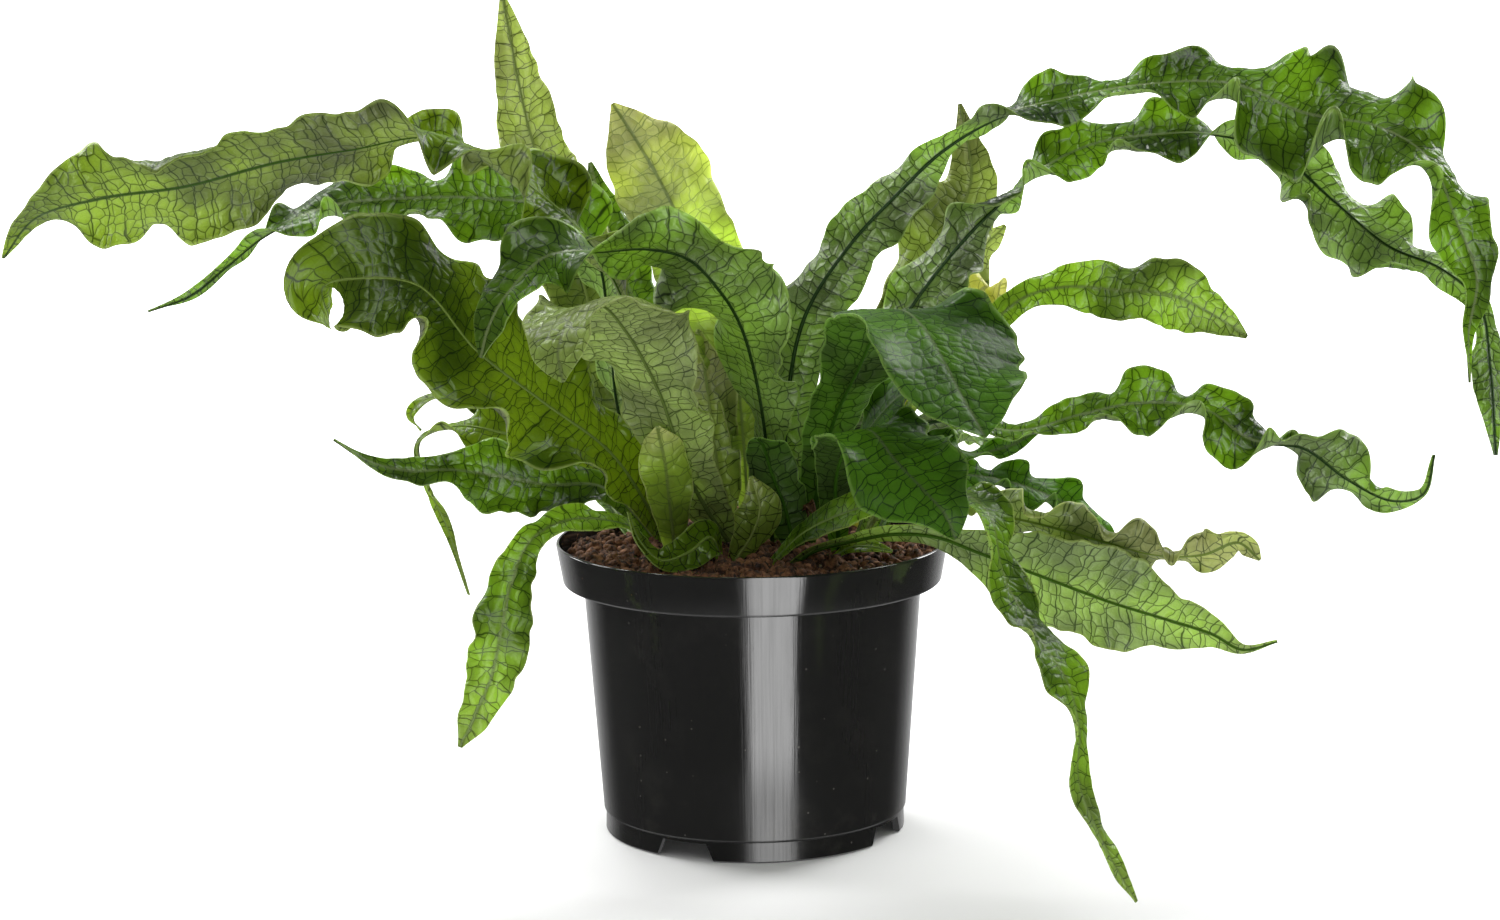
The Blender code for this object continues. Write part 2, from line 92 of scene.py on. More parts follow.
class Nodes:
    # adds nodes to one tree, for materials and geometry alike
    def __init__(self, tree):
        self.tree = tree

    def add(self, kind, inputs=None, **settings):
        node = self.tree.nodes.new(kind)
        for name, value in settings.items():
            setattr(node, name, value)
        for key, value in (inputs or {}).items():
            self.put(node.inputs[key], value)
        return node

    def put(self, socket, value):
        if isinstance(value, Value):
            self.tree.links.new(value.socket, socket)
        else:
            socket.default_value = value

    def value(self, kind, inputs=None, output=0, **settings):
        return Value(self, self.add(kind, inputs, **settings).outputs[output])

    def math(self, operation, a, b=0.0):
        return self.value("ShaderNodeMath", {0: a, 1: b}, operation=operation)

    def vector(self, x, y, z=0.0):
        return self.value("ShaderNodeCombineXYZ", {0: x, 1: y, 2: z})

    def split(self, vector):
        return [Value(self, part) for part in self.add("ShaderNodeSeparateXYZ", {0: vector}).outputs]

    def vectorMath(self, operation, a, b=(0, 0, 0), output=0):
        return self.value("ShaderNodeVectorMath", {0: a, 1: b}, output, operation=operation)

    def scaled(self, vector, by):
        return self.value("ShaderNodeVectorMath", {0: vector, 3: by}, operation="SCALE")

    def smooth(self, value, low, high, start=0.0, end=1.0):
        inputs = {0: value, 1: low, 2: high, 3: start, 4: end}
        return self.value("ShaderNodeMapRange", inputs, interpolation_type="SMOOTHSTEP")

    def noise(self, vector, scale, detail=2.0, roughness=0.5, output=0):
        inputs = {"Vector": vector, "Scale": scale, "Detail": detail, "Roughness": roughness}
        return self.value("ShaderNodeTexNoise", inputs, output)

    def voronoi(self, vector, scale, output, random=1.0, **settings):
        inputs = {"Vector": vector, "Scale": scale, "Randomness": random}
        return self.value("ShaderNodeTexVoronoi", inputs, output, **settings)

    def mix(self, factor, a, b, blend="MIX"):
        a, b = [part if isinstance(part, Value) else (*part, 1.0) for part in (a, b)]
        return self.value("ShaderNodeMix", {0: factor, 6: a, 7: b}, 2, data_type="RGBA", blend_type=blend)

    def shaded(self, body, shade):
        return self.mix(1.0, body, self.vector(shade, shade, shade), "MULTIPLY")

    def objectPlace(self):
        return self.value("ShaderNodeTexCoord", output="Object")

    def bumped(self, height, distance, strength=1.0):
        return self.value("ShaderNodeBump", {"Strength": strength, "Distance": distance, "Height": height})

    def principled(self, body, rough, specular, normal):
        inputs = {"Base Color": body, "Roughness": rough, "Specular IOR Level": specular, "Normal": normal}
        return self.value("ShaderNodeBsdfPrincipled", inputs)

    def position(self):
        return self.value("GeometryNodeInputPosition")

    def normal(self):
        return self.value("GeometryNodeInputNormal", output="Normal")

    def named(self, name, kind="FLOAT"):
        return self.value("GeometryNodeInputNamedAttribute", {"Name": name}, "Attribute", data_type=kind)

    def store(self, geometry, name, value, kind="FLOAT_VECTOR", domain="POINT"):
        inputs = {"Geometry": geometry, "Name": name, "Value": value}
        return self.value("GeometryNodeStoreNamedAttribute", inputs, data_type=kind, domain=domain)

    def moved(self, geometry, how, value):
        return self.value("GeometryNodeSetPosition", {"Geometry": geometry, how: value})

    def ended(self, geometry, material, out):
        real = self.value("GeometryNodeRealizeInstances", {"Geometry": geometry})
        self.put(out[0], self.value("GeometryNodeSetMaterial", {"Geometry": real, "Material": material}))
        return self.tree


def newGroup(name, kind, inputs, outputs):
    # inputs are {label: socket kind, or (socket kind, value)}, outputs {label: socket kind}
    tree = bpy.data.node_groups.new(name, kind)
    for label, given in inputs.items():
        socketKind, value = given if isinstance(given, tuple) else (given, None)
        socket = tree.interface.new_socket(label, in_out="INPUT", socket_type="NodeSocket" + socketKind)
        if value is not None:
            socket.default_value = value
    for label, socketKind in outputs.items():
        tree.interface.new_socket(label, in_out="OUTPUT", socket_type="NodeSocket" + socketKind)
    nodes = Nodes(tree)
    given = {socket.name: Value(nodes, socket) for socket in nodes.add("NodeGroupInput").outputs}
    return nodes, given, nodes.add("NodeGroupOutput").inputs


def newMaterial(name):
    material = bpy.data.materials.new(name)
    material.use_nodes = True
    material.node_tree.nodes.clear()
    nodes = Nodes(material.node_tree)
    return material, nodes, nodes.add("ShaderNodeOutputMaterial").inputs["Surface"]


def linked(name, data):
    obj = bpy.data.objects.new(name, data)
    collection.objects.link(obj)
    return obj


def settled(obj):
    # the plain mesh that an object's modifiers make, in place of the object
    graph = bpy.context.evaluated_depsgraph_get()
    made = bpy.data.meshes.new_from_object(obj.evaluated_get(graph))
    bpy.data.objects.remove(obj)
    return made


def grow(name, startMesh, tree, values):
    # runs a geometry tree on a mesh and hands back the plain mesh that it makes
    obj = linked(name, startMesh)
    modifier = obj.modifiers.new(tree.name, "NODES")
    modifier.node_group = tree
    for item in tree.interface.items_tree:
        if item.in_out == "INPUT" and item.name in values:
            modifier[item.identifier] = values[item.name]
    return settled(obj)


def meshFrom(bm, name, smooth=False):
    mesh = bpy.data.meshes.new(name)
    bm.to_mesh(mesh)
    bm.free()
    if smooth:
        mesh.shade_smooth()
    return mesh


def paint(mesh, *materials):
    # clearing also forgets which face has which material
    if mesh.materials:
        mesh.materials.clear()
    for material in materials:
        mesh.materials.append(material)


def addPiece(name, mesh, slot, *nodes):
    mesh.name = name
    obj = linked(name, mesh)
    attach(obj, "root")
    if nodes:
        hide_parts(*nodes)


# The vein net. The same cells bulge the blade and darken the veins. Lengths are in metres.
veins = {
    "pitch": 0.0088,        # between laterals
    "cell": 0.0058,         # across a cell of the net between them
    "lean": 0.26,           # laterals lean towards the tip
    "warp": 0.0042, "warpScale": 70.0, "random": 0.72, "halves": 17.0,
    "ownPart": 0.37,        # each blade starts in its own part of the pattern
    "ownCells": 31.0,
    "lateralWidth": 0.00042, "netWidth": 0.00036, "netShare": 0.84, "midribWidth": 0.0011,
    "fineScale": 480.0, "fineStretch": 0.8, "fineWidth": 0.10, "fineShare": 0.12,
    "fineSwell": 0.25, "fineHeight": 0.22, "grainScale": 900.0, "grainHeight": 0.08,
    "blotchScale": 21.0, "margin": (0.065, 0.02),
}


def veinNet(nodes, across, along, shift):
    # distances to the nearest lateral and small vein, and a random value for each cell
    side = nodes.math("ABSOLUTE", across)
    hand = nodes.math("GREATER_THAN", across, 0.0)
    wander = nodes.noise(nodes.vector(across + shift, along), veins["warpScale"], output=1)
    offset = nodes.vectorMath("SUBTRACT", wander, (0.5, 0.5, 0.5))
    offset = nodes.split(nodes.scaled(offset, 2 * veins["warp"]))
    forward = along - side * veins["lean"] + offset[0]
    rows = forward / veins["pitch"] + hand * 0.5
    near = 0.5 - nodes.math("ABSOLUTE", nodes.math("FRACT", rows) - 0.5)
    outward = (side + offset[1]) / veins["cell"]
    apart = hand * veins["halves"] + shift * veins["ownCells"]
    spot = nodes.vector(outward + apart, forward / veins["cell"])
    edge, cell = [
        nodes.voronoi(spot, 1.0, output, veins["random"], voronoi_dimensions="2D", feature=feature)
        for output, feature in (("Distance", "DISTANCE_TO_EDGE"), ("Color", "F1"))]
    return near * veins["pitch"], edge * veins["cell"], nodes.split(cell)[0]


def cellBulge(nodes, lateral, cross):
    # 0 on a vein, 1 in the middle of a cell
    cell = veins["cell"]
    return nodes.smooth(lateral, -0.3 * cell, 0.45 * cell) * nodes.smooth(cross, 0.0, 0.36 * cell)


def makeVeinGroup():
    labels = ("Vein", "Midrib", "Margin", "Side", "Cell", "Reach", "Age", "Blotch", "Height")
    nodes, given, out = newGroup("bladeMarks", "ShaderNodeTree", {"Vein width": ("Float", 1.0)},
                                 {label: "Float" for label in labels})
    across, along = nodes.split(nodes.value("ShaderNodeUVMap", uv_map="strip"))[:2]
    blade = nodes.value("ShaderNodeAttribute", output="Vector", attribute_name="blade")
    edge, reach, age = nodes.split(blade)
    shift = nodes.math("FLOOR", age) * veins["ownPart"]
    lateral, cross, cell = veinNet(nodes, across, along, shift)

    def line(distance, width):
        wide = given["Vein width"] * width
        return 1.0 - nodes.smooth(distance, wide * 0.25, wide)

    small = line(cross, veins["netWidth"]) * veins["netShare"]
    vein = nodes.math("MAXIMUM", line(lateral, veins["lateralWidth"]), small)
    # the finest net fills the cells
    finePlace = nodes.vector(across + shift, along * veins["fineStretch"])
    net = nodes.voronoi(finePlace, veins["fineScale"], "Distance", voronoi_dimensions="2D",
                        feature="DISTANCE_TO_EDGE")
    vein = nodes.math("MAXIMUM", vein, nodes.smooth(net, veins["fineWidth"], 0.01) * veins["fineShare"])
    width = veins["midribWidth"]
    midrib = 1.0 - nodes.smooth(nodes.math("ABSOLUTE", across), 0.5 * width, width)
    margin = nodes.smooth(1.0 - nodes.math("ABSOLUTE", edge), *veins["margin"])
    place = nodes.vector(across + shift, along)
    blotch = nodes.noise(place, veins["blotchScale"], 3.0)
    height = cellBulge(nodes, lateral, cross)
    height = height + nodes.smooth(net, 0.0, veins["fineSwell"]) * veins["fineHeight"]
    height = height + nodes.noise(place, veins["grainScale"]) * veins["grainHeight"]
    outputs = (vein, midrib, margin, edge, cell, reach, nodes.math("FRACT", age), blotch, height)
    for socket, value in zip(out, outputs):
        nodes.put(socket, value)
    return nodes.tree


bladeMarks = makeVeinGroup()

# Leaf colours: the top's cells and its second tone, the underside, the veins, the aged tip, the light
# that comes through, the midrib and the margin. Gloss and pucker are shares of the usual.
leafColours = {
    "mid": {"cells": (0.122, 0.232, 0.014), "second": (0.036, 0.094, 0.005), "under": (0.170, 0.180, 0.104),
            "veins": (0.012, 0.032, 0.004), "tip": (0.20, 0.31, 0.04), "through": (0.48, 0.64, 0.04),
            "rib": (0.22, 0.32, 0.06), "margin": (0.40, 0.52, 0.14)},
    "dark": {"gloss": 1.30,
             "cells": (0.060, 0.136, 0.012), "second": (0.012, 0.038, 0.004), "under": (0.255, 0.350, 0.130),
             "veins": (0.006, 0.020, 0.003), "tip": (0.085, 0.17, 0.02), "through": (0.42, 0.62, 0.06),
             "rib": (0.32, 0.42, 0.16), "margin": (0.34, 0.50, 0.12)},
    # a copy of the dark colours for leaves in shade: the underside and the light through are painted darker
    # as shade, and the top's cells are painted lighter for light that does not reach them
    "deep": {"gloss": 0.28, "pucker": 0.50,
             "cells": (0.105, 0.250, 0.020), "second": (0.044, 0.125, 0.010), "under": (0.070, 0.110, 0.035),
             "veins": (0.006, 0.020, 0.003), "tip": (0.090, 0.20, 0.03), "through": (0.28, 0.50, 0.03),
             "rib": (0.16, 0.24, 0.08), "margin": (0.26, 0.42, 0.10)},
    "fresh": {"cells": (0.118, 0.256, 0.01), "second": (0.050, 0.124, 0.008), "under": (0.360, 0.490, 0.170),
              "veins": (0.022, 0.052, 0.007), "tip": (0.36, 0.46, 0.12), "through": (0.54, 0.72, 0.12),
              "rib": (0.24, 0.34, 0.08), "margin": (0.42, 0.54, 0.14)},
    "pale": {"cells": (0.250, 0.345, 0.055), "second": (0.190, 0.280, 0.038), "under": (0.230, 0.300, 0.120),
             "veins": (0.040, 0.078, 0.012), "tip": (0.60, 0.62, 0.22), "through": (0.50, 0.58, 0.20),
             "rib": (0.30, 0.38, 0.10), "margin": (0.58, 0.66, 0.22)},
    "lime": {"cells": (0.430, 0.590, 0.076), "second": (0.300, 0.440, 0.054), "under": (0.420, 0.540, 0.180),
             "veins": (0.200, 0.310, 0.050), "tip": (0.88, 0.88, 0.42), "through": (0.84, 1.0, 0.28),
             "rib": (0.30, 0.40, 0.10), "margin": (0.78, 0.84, 0.36)},
    "grey": {"cells": (0.200, 0.275, 0.070), "second": (0.130, 0.190, 0.042), "under": (0.380, 0.465, 0.180),
             "veins": (0.030, 0.056, 0.014), "tip": (0.32, 0.40, 0.12), "through": (0.42, 0.54, 0.14),
             "rib": (0.24, 0.30, 0.11), "margin": (0.44, 0.52, 0.18)},
    "yellow": {"cells": (0.52, 0.54, 0.12), "second": (0.38, 0.44, 0.09), "under": (0.52, 0.54, 0.14),
               "veins": (0.26, 0.30, 0.06), "tip": (0.70, 0.66, 0.28), "through": (0.80, 0.82, 0.24),
               "rib": (0.50, 0.50, 0.18), "margin": (0.72, 0.70, 0.30)},
    "brown": {"cells": (0.13, 0.060, 0.026), "second": (0.06, 0.030, 0.016), "under": (0.15, 0.080, 0.040),
              "veins": (0.050, 0.022, 0.012), "tip": (0.20, 0.11, 0.05), "through": (0.30, 0.15, 0.06),
              "rib": (0.12, 0.06, 0.03), "margin": (0.20, 0.11, 0.05)},
}
leafSlots = {"mid": "leaf_green", "fresh": "leaf_green", "dark": "leaf_dark", "deep": "leaf_dark",
             "pale": "leaf_pale", "lime": "leaf_pale", "grey": "leaf_underside",
             "yellow": "leaf_yellow", "brown": "leaf_withered"}
leafShine = {
    "top": {"roughness": 0.26, "specular": 0.30, "through": 0.54, "veinShare": 0.80, "ribDim": 0.25,
            "bump": 0.00020},
    "under": {"roughness": 0.34, "specular": 0.36, "through": 0.40, "veinShare": 0.92, "ribDim": 0.8,
              "bump": -0.00036},
    "edge": {"roughness": 0.45, "specular": 0.40, "through": 0.50, "veinShare": 0.0, "ribDim": 0.8,
             "bump": 0.0001},
    "rib": {"roughness": 0.50, "specular": 0.10, "through": 0.15, "veinShare": 0.0, "ribDim": 0.8,
            "bump": 0.0001},
}
leafLook = {
    "underVeins": 1.15, "underSecond": 0.75, "blotch": (0.38, 0.62), "ageShare": 0.35, "aged": (0.76, 1.24),
    "cellShade": (0.82, 0.36), "marginShare": 0.85, "edgeBody": 0.35, "ribSide": (-0.05, 0.20),
    "veinDim": 0.75, "paleVeinDim": 0.38, "agedGlow": 1.2, "underGlow": (0.7, 1.5),
    "paintedShadeAndGlowPatches": (0.66, 0.40, 0.50, 1.22), "roughBlotch": 0.12,
# the next entry paints the light through darker as shade and lighter as glow in random patches
}


def leafMaterial(family, face):
    tones, shine, look = leafColours[family], leafShine[face], leafLook
    isUnder = face == "under"
    material, nodes, surface = newMaterial("leaf " + family + " " + face)
    group = nodes.add("ShaderNodeGroup", node_tree=bladeMarks)
    nodes.put(group.inputs["Vein width"], look["underVeins"] if isUnder else 1.0)
    marks = {socket.name: Value(nodes, socket) for socket in group.outputs}

    def brighter(tone, by):
        return [min(1, by * part) for part in tones[tone]]

    main, second = tones["cells"], tones["second"]
    if isUnder:
        main, second = tones["under"], brighter("under", look["underSecond"])
    body = nodes.mix(nodes.smooth(marks["Blotch"], *look["blotch"]), main, second)
    aged = nodes.smooth(marks["Reach"] + marks["Age"] * look["ageShare"], *look["aged"])
    body = nodes.mix(aged, body, tones["tip"])
    least, most = look["cellShade"]
    body = nodes.shaded(body, least + marks["Cell"] * most)
    body = nodes.mix(marks["Vein"] * shine["veinShare"], body, tones["veins"])
    body = nodes.mix(marks["Midrib"], body, tones["second" if isUnder else "rib"])
    body = nodes.mix(marks["Margin"] * look["marginShare"], body, tones["margin"])
    if face == "edge":
        body = nodes.mix(look["edgeBody"], tones["margin"], body)
    if face == "rib":
        body = nodes.mix(nodes.smooth(marks["Side"], *look["ribSide"]), tones["second"], tones["rib"])
    # the light that comes through is dimmed by veins and midrib, and random patches paint it darker as shade
    # and lighter as glow
    dim = 1.0 - marks["Vein"] * look["paleVeinDim" if family in ("lime", "yellow") else "veinDim"]
    dim = dim * (1.0 - marks["Midrib"] * shine["ribDim"])
    dim = dim * nodes.smooth(marks["Blotch"], *look["paintedShadeAndGlowPatches"])
    glow = nodes.mix(aged, tones["through"], brighter("through", look["agedGlow"]))
    if isUnder:
        share, gain = look["underGlow"]
        glow = nodes.mix(share, glow, brighter("under", gain))
    half = look["roughBlotch"] / 2
    rough = (shine["roughness"] - half) + marks["Blotch"] * look["roughBlotch"]
    bump = nodes.bumped(marks["Height"], shine["bump"] * tones.get("pucker", 1.0))
    shader = nodes.principled(body, rough, shine["specular"] * tones.get("gloss", 1.0), bump)
    lit = nodes.value("ShaderNodeBsdfTranslucent", {"Color": nodes.shaded(glow, dim), "Normal": bump})
    nodes.put(surface, nodes.value("ShaderNodeMixShader", {0: shine["through"], 1: shader, 2: lit}))
    return material


leafMaterials = {family: [leafMaterial(family, face) for face in leafShine] for family in leafColours}
print("stage: leaf materials made")

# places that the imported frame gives
potHigh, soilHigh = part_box("pot")[1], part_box("soil")[1]
potHeight, rimRadius = potHigh.z, potHigh.x
soilRadius = max(Vector(vert.co[:2]).length for vert in frame["nodes"]["soil"].data.vertices)
soilMound = 0.003
soilEdge = soilHigh.z - soilMound


def soilTop(radius):
    return soilEdge + soilMound * max(0.0, 1 - (radius / soilRadius) ** 2)


# The pot. Angles are in degrees.
potLook = {
    "steps": 192, "wall": 0.0015, "collarHeight": 0.0197, "collarTaper": 0.0032, "collarStep": 0.0097,
    "bodyTaper": 0.009, "footHeight": 0.0085, "footWidth": 0.0035, "rimRound": 0.0011, "collarRound": 0.0014,
    "stepRound": 0.0012, "seamRound": 0.0012, "footRound": 0.0006, "footInnerRound": 0.0004, "tiny": 0.0002,
    "notches": 4, "notchAngle": 22.0, "notchNarrowing": 0.72, "firstNotch": -118.0, "notchDepth": 0.02,
    "past": 0.01, "below": -0.002, "drains": 8, "drainRadius": 0.0055, "drainInset": 0.0271,
    "drainSides": 32, "sharp": 38,
}
potPaint = {
    "plastic": (0.0165, 0.0165, 0.0160), "dust": (0.115, 0.105, 0.092), "specular": 0.55,
    "streaks": (60.0, 12.0, 0.62), "bands": (7.0, 6.0), "cloudScale": 34.0, "cloud": (0.50, 0.80),
    "dustLow": (0.035, 0.004), "dustEverywhere": 0.06, "dustLowShare": 0.30,
    "speckScale": 240.0, "speckSize": (0.16, 0.08), "speckChance": 0.90, "speckShare": 0.45,
    "streakDust": (0.60, 0.85), "streakDustShare": 0.05,
    "roughness": 0.055, "smudge": (0.058, 0.030), "smudgeShare": 0.07, "streakRough": 0.08,
    "dustRough": 0.35,
    "bump": 0.00012, "bumpStrength": 0.5, "streakHeight": 0.6, "bandHeight": 1.2,
    "film": (0.060, 0.028), "filmShare": 0.30, "streakFilm": (0.35, 0.75), "streakFilmShare": 0.22,
}


def arc(centre, radius, start, end, points=6):
    turns = [radians(start + (end - start) * k / (points - 1)) for k in range(points)]
    return [(centre[0] + radius * cos(turn), centre[1] + radius * sin(turn)) for turn in turns]


def potProfile():
    look = potLook
    wall, foot, tiny = look["wall"], look["footHeight"], look["tiny"]
    collarFoot = potHeight - look["collarHeight"]
    collarLow = rimRadius - look["collarTaper"]
    bodyTop = collarLow - look["collarStep"]
    bodyFoot = bodyTop - look["bodyTaper"]
    seam = foot + wall

    def body(height):
        return bodyFoot + (bodyTop - bodyFoot) / collarFoot * height

    rim, corner, low, step = look["rimRound"], look["collarRound"], look["seamRound"], look["stepRound"]
    lean = np.degrees(np.arctan(look["collarTaper"] / look["collarHeight"]))
    # up the inside and over the rim
    profile = [(0, seam + wall), (body(seam) - 3 * wall, seam + wall)]
    profile += arc((body(seam) - 3 * wall, seam + 3 * wall), 2 * wall, -90, 0)
    profile += [(body(collarFoot) - wall, collarFoot + wall - tiny), (collarLow - wall, collarFoot + wall)]
    profile += arc((rimRadius - wall + rim / 2, potHeight - rim / 2), rim / 2, 180, 90)
    profile += arc((rimRadius - rim, potHeight - rim), rim, 90, -lean / 2)
    # down the outside, past the collar's step and two mould lines, to the feet
    profile += arc((collarLow - corner + tiny, collarFoot + corner), corner, 0, -90)
    profile.append((body(collarFoot) + step, collarFoot))
    profile += arc((body(collarFoot) + step, collarFoot - step), step, 90, 180, 4)
    profile += [(body(share * collarFoot), share * collarFoot) for share in (0.98, 0.5)]
    profile += arc((body(seam + low) - low, seam + low), low, 0, -60)
    outer, inner, ring = look["footRound"], look["footInnerRound"], bodyFoot - look["footWidth"]
    profile += [(body(seam) - 0.9 * low, seam - inner), (bodyFoot, outer), (bodyFoot - outer, 0)]
    profile += [(ring + inner, 0), (ring, inner), (ring, seam), (0, seam)]
    return profile, bodyFoot, seam


def turned(profile, steps):
    # a profile of (radius, height) points turned round Z into a closed mesh
    bm = bmesh.new()
    points = [bm.verts.new((radius, 0, height)) for radius, height in profile]
    for a, b in zip(points, points[1:]):
        bm.edges.new((a, b))
    bmesh.ops.spin(bm, geom=bm.verts[:] + bm.edges[:], cent=(0, 0, 0), axis=(0, 0, 1), angle=2 * pi,
                   steps=steps, use_merge=True)
    bmesh.ops.remove_doubles(bm, verts=bm.verts, dist=0.00001)
    bmesh.ops.recalc_face_normals(bm, faces=bm.faces)
    return meshFrom(bm, "pot_turned")


def potCutter(bodyFoot, seam):
    look = potLook
    bm = bmesh.new()
    reach, depth = bodyFoot + look["past"], look["notchDepth"]
    low = 2 * reach * np.tan(radians(look["notchAngle"]) / 2)
    for turn in range(look["notches"]):
        made = bmesh.ops.create_cube(bm, size=1)["verts"]
        for vert in made:
            isLow = vert.co.z < 0
            vert.co.x = reach - depth + (vert.co.x + 0.5) * depth
            vert.co.y *= low if isLow else low * look["notchNarrowing"]
            vert.co.z = look["below"] if isLow else look["footHeight"]
        angle = radians(look["firstNotch"]) + turn * 2 * pi / look["notches"]
        bmesh.ops.rotate(bm, verts=made, cent=(0, 0, 0), matrix=Matrix.Rotation(angle, 3, "Z"))
    circle = bodyFoot - look["drainInset"]
    for turn in range(look["drains"]):
        angle = 2 * pi * turn / look["drains"]
        place = Matrix.Translation((circle * cos(angle), circle * sin(angle), seam))
        bmesh.ops.create_cone(bm, cap_ends=True, segments=look["drainSides"], radius1=look["drainRadius"],
                              radius2=look["drainRadius"], depth=4 * look["wall"], matrix=place)
    bmesh.ops.recalc_face_normals(bm, faces=bm.faces)
    return meshFrom(bm, "pot_cutter")


def potMaterial():
    look = potPaint
    material, nodes, surface = newMaterial("black pot plastic")
    place = nodes.objectPlace()
    x, y, z = nodes.split(place)
    turn = nodes.math("ARCTAN2", x, y)
    # fine upright draw marks from the mould, dust that settles low, and small specks
    fast, slow, coarse = look["streaks"]
    streak = nodes.noise(nodes.vector(turn * fast, z * slow), 1.0, 6.0, coarse)
    fast, slow = look["bands"]
    band = nodes.noise(nodes.vector(turn * fast, z * slow), 1.0, 3.0)
    cloud = nodes.smooth(nodes.noise(place, look["cloudScale"], 5.0, 0.6), *look["cloud"])
    near, kind = [nodes.voronoi(place, look["speckScale"], output) for output in ("Distance", "Color")]
    chosen = nodes.math("GREATER_THAN", nodes.split(kind)[0], look["speckChance"])
    speck = nodes.smooth(near, *look["speckSize"]) * chosen
    dust = cloud * (look["dustEverywhere"] + nodes.smooth(z, *look["dustLow"]) * look["dustLowShare"])
    dust = dust + speck * look["speckShare"]
    dust = dust + nodes.smooth(streak, *look["streakDust"]) * look["streakDustShare"]
    dust = nodes.math("MINIMUM", dust, 1.0)
    body = nodes.mix(dust, look["plastic"], look["dust"])
    rough = look["roughness"] + nodes.smooth(z, *look["smudge"]) * look["smudgeShare"]
    rough = rough + streak * look["streakRough"] + dust * look["dustRough"]
    height = streak * look["streakHeight"] + band * look["bandHeight"]
    bump = nodes.bumped(height, look["bump"], look["bumpStrength"])
    # a film of dust dulls the gloss in streaks and near the foot
    film = nodes.smooth(z, *look["film"]) * look["filmShare"]
    film = film + nodes.smooth(streak, *look["streakFilm"]) * look["streakFilmShare"]
    nodes.put(surface, nodes.principled(body, rough, look["specular"] * (1.0 - film), bump))
    return material


def makePot():
    profile, bodyFoot, seam = potProfile()
    obj = linked("pot_turned", turned(profile, potLook["steps"]))
    cutter = linked("pot_cutter", potCutter(bodyFoot, seam))
    modifier = obj.modifiers.new("notches and drains", "BOOLEAN")
    modifier.operation, modifier.solver, modifier.object = "DIFFERENCE", "EXACT", cutter
    mesh = settled(obj)
    bpy.data.objects.remove(cutter)
    mesh.shade_smooth()
    mesh.set_sharp_from_angle(angle=radians(potLook["sharp"]))
    paint(mesh, potMaterial())
    addPiece("nursery_pot", mesh, "pot_plastic", "pot")


makePot()
print("stage: pot made")

# The soil. Each kind of strewn bit has its count, its sizes, its seed and its own shape.
soilLook = {
    "rings": 46, "spokes": 150, "crowding": 0.8, "lump": 0.0036, "lumpScale": 70, "lumpEdge": 0.35,
    "grain": 0.0010, "grainScale": 420, "edgeGap": 0.0004, "calmEdge": 0.006, "sunk": 0.0008,
    "highest": 0.002, "wallGap": 0.0012, "lowGap": 0.002, "ledgeGaps": (0.0004, 0.0003),
    "footRound": (0.003, 0.004), "keepOff": 0.003, "faceUp": 0.3, "specular": 0.25,
    "tone": (0.36, 0.66), "shade": (0.65, 0.7), "toneRough": 0.1, "bumpStrength": 0.8, "fineScale": 5,
}
soilPaints = {
    "peat bed": ((0.008, 0.004, 0.002), (0.085, 0.038, 0.018), 0.86, 190.0, 0.0012),
    "peat crumbs": ((0.010, 0.004, 0.002), (0.270, 0.128, 0.064), 0.75, 230.0, 0.0005),
    "peat fibres": ((0.075, 0.034, 0.016), (0.240, 0.125, 0.060), 0.75, 160.0, 0.0002),
    "pale grains": ((0.42, 0.33, 0.16), (0.80, 0.76, 0.66), 0.60, 300.0, 0.0002),
    "moss bits": ((0.050, 0.085, 0.012), (0.160, 0.230, 0.040), 0.70, 300.0, 0.0002),
}
strewnBits = {
    "peat crumbs": {"count": 2400, "sizes": (0.35, 2.7), "seed": 3, "lump": ((0.0017, 0.0012, 0.0010), 1.0)},
    "peat fibres": {"count": 420, "sizes": (0.5, 1.3), "seed": 5, "strand": (0.009, 0.00035, 2)},
    "pale grains": {"count": 110, "sizes": (0.35, 0.9), "seed": 8, "lump": ((0.0012, 0.0010, 0.0009), 4.0)},
    "moss bits": {"count": 160, "sizes": (0.4, 1.0), "seed": 9, "strand": (0.0032, 0.00045, 7)},
}


def soilMaterial(name):
    look = soilLook
    dark, light, roughness, scale, bumpHeight = soilPaints[name]
    material, nodes, surface = newMaterial(name)
    place = nodes.objectPlace()
    tone = nodes.noise(place, scale, 4.0, 0.65)
    fine = nodes.noise(place, look["fineScale"] * scale, 3.0, 0.6)
    body = nodes.mix(nodes.smooth(tone, *look["tone"]), dark, light)
    least, more = look["shade"]
    bump = nodes.bumped(fine, bumpHeight, look["bumpStrength"])
    shader = nodes.principled(nodes.shaded(body, least + fine * more), roughness + tone * look["toneRough"],
                              look["specular"], bump)
    nodes.put(surface, shader)
    return material


def soilSurface(x, y):
    look = soilLook
    radius = np.hypot(x, y)
    inside = min(1.0, max(0.0, (soilRadius - radius) / look["calmEdge"]))
    lump = noise.fractal(Vector((x, y, 0.3)) * look["lumpScale"], 0.9, 2.1, 5)
    grain = noise.noise(Vector((x, y, 0.9)) * look["grainScale"])
    calm = look["lumpEdge"] + (1 - look["lumpEdge"]) * inside
    height = soilTop(radius) - look["sunk"] + look["lump"] * lump * calm + look["grain"] * grain
    return min(height, soilHigh.z + look["highest"])


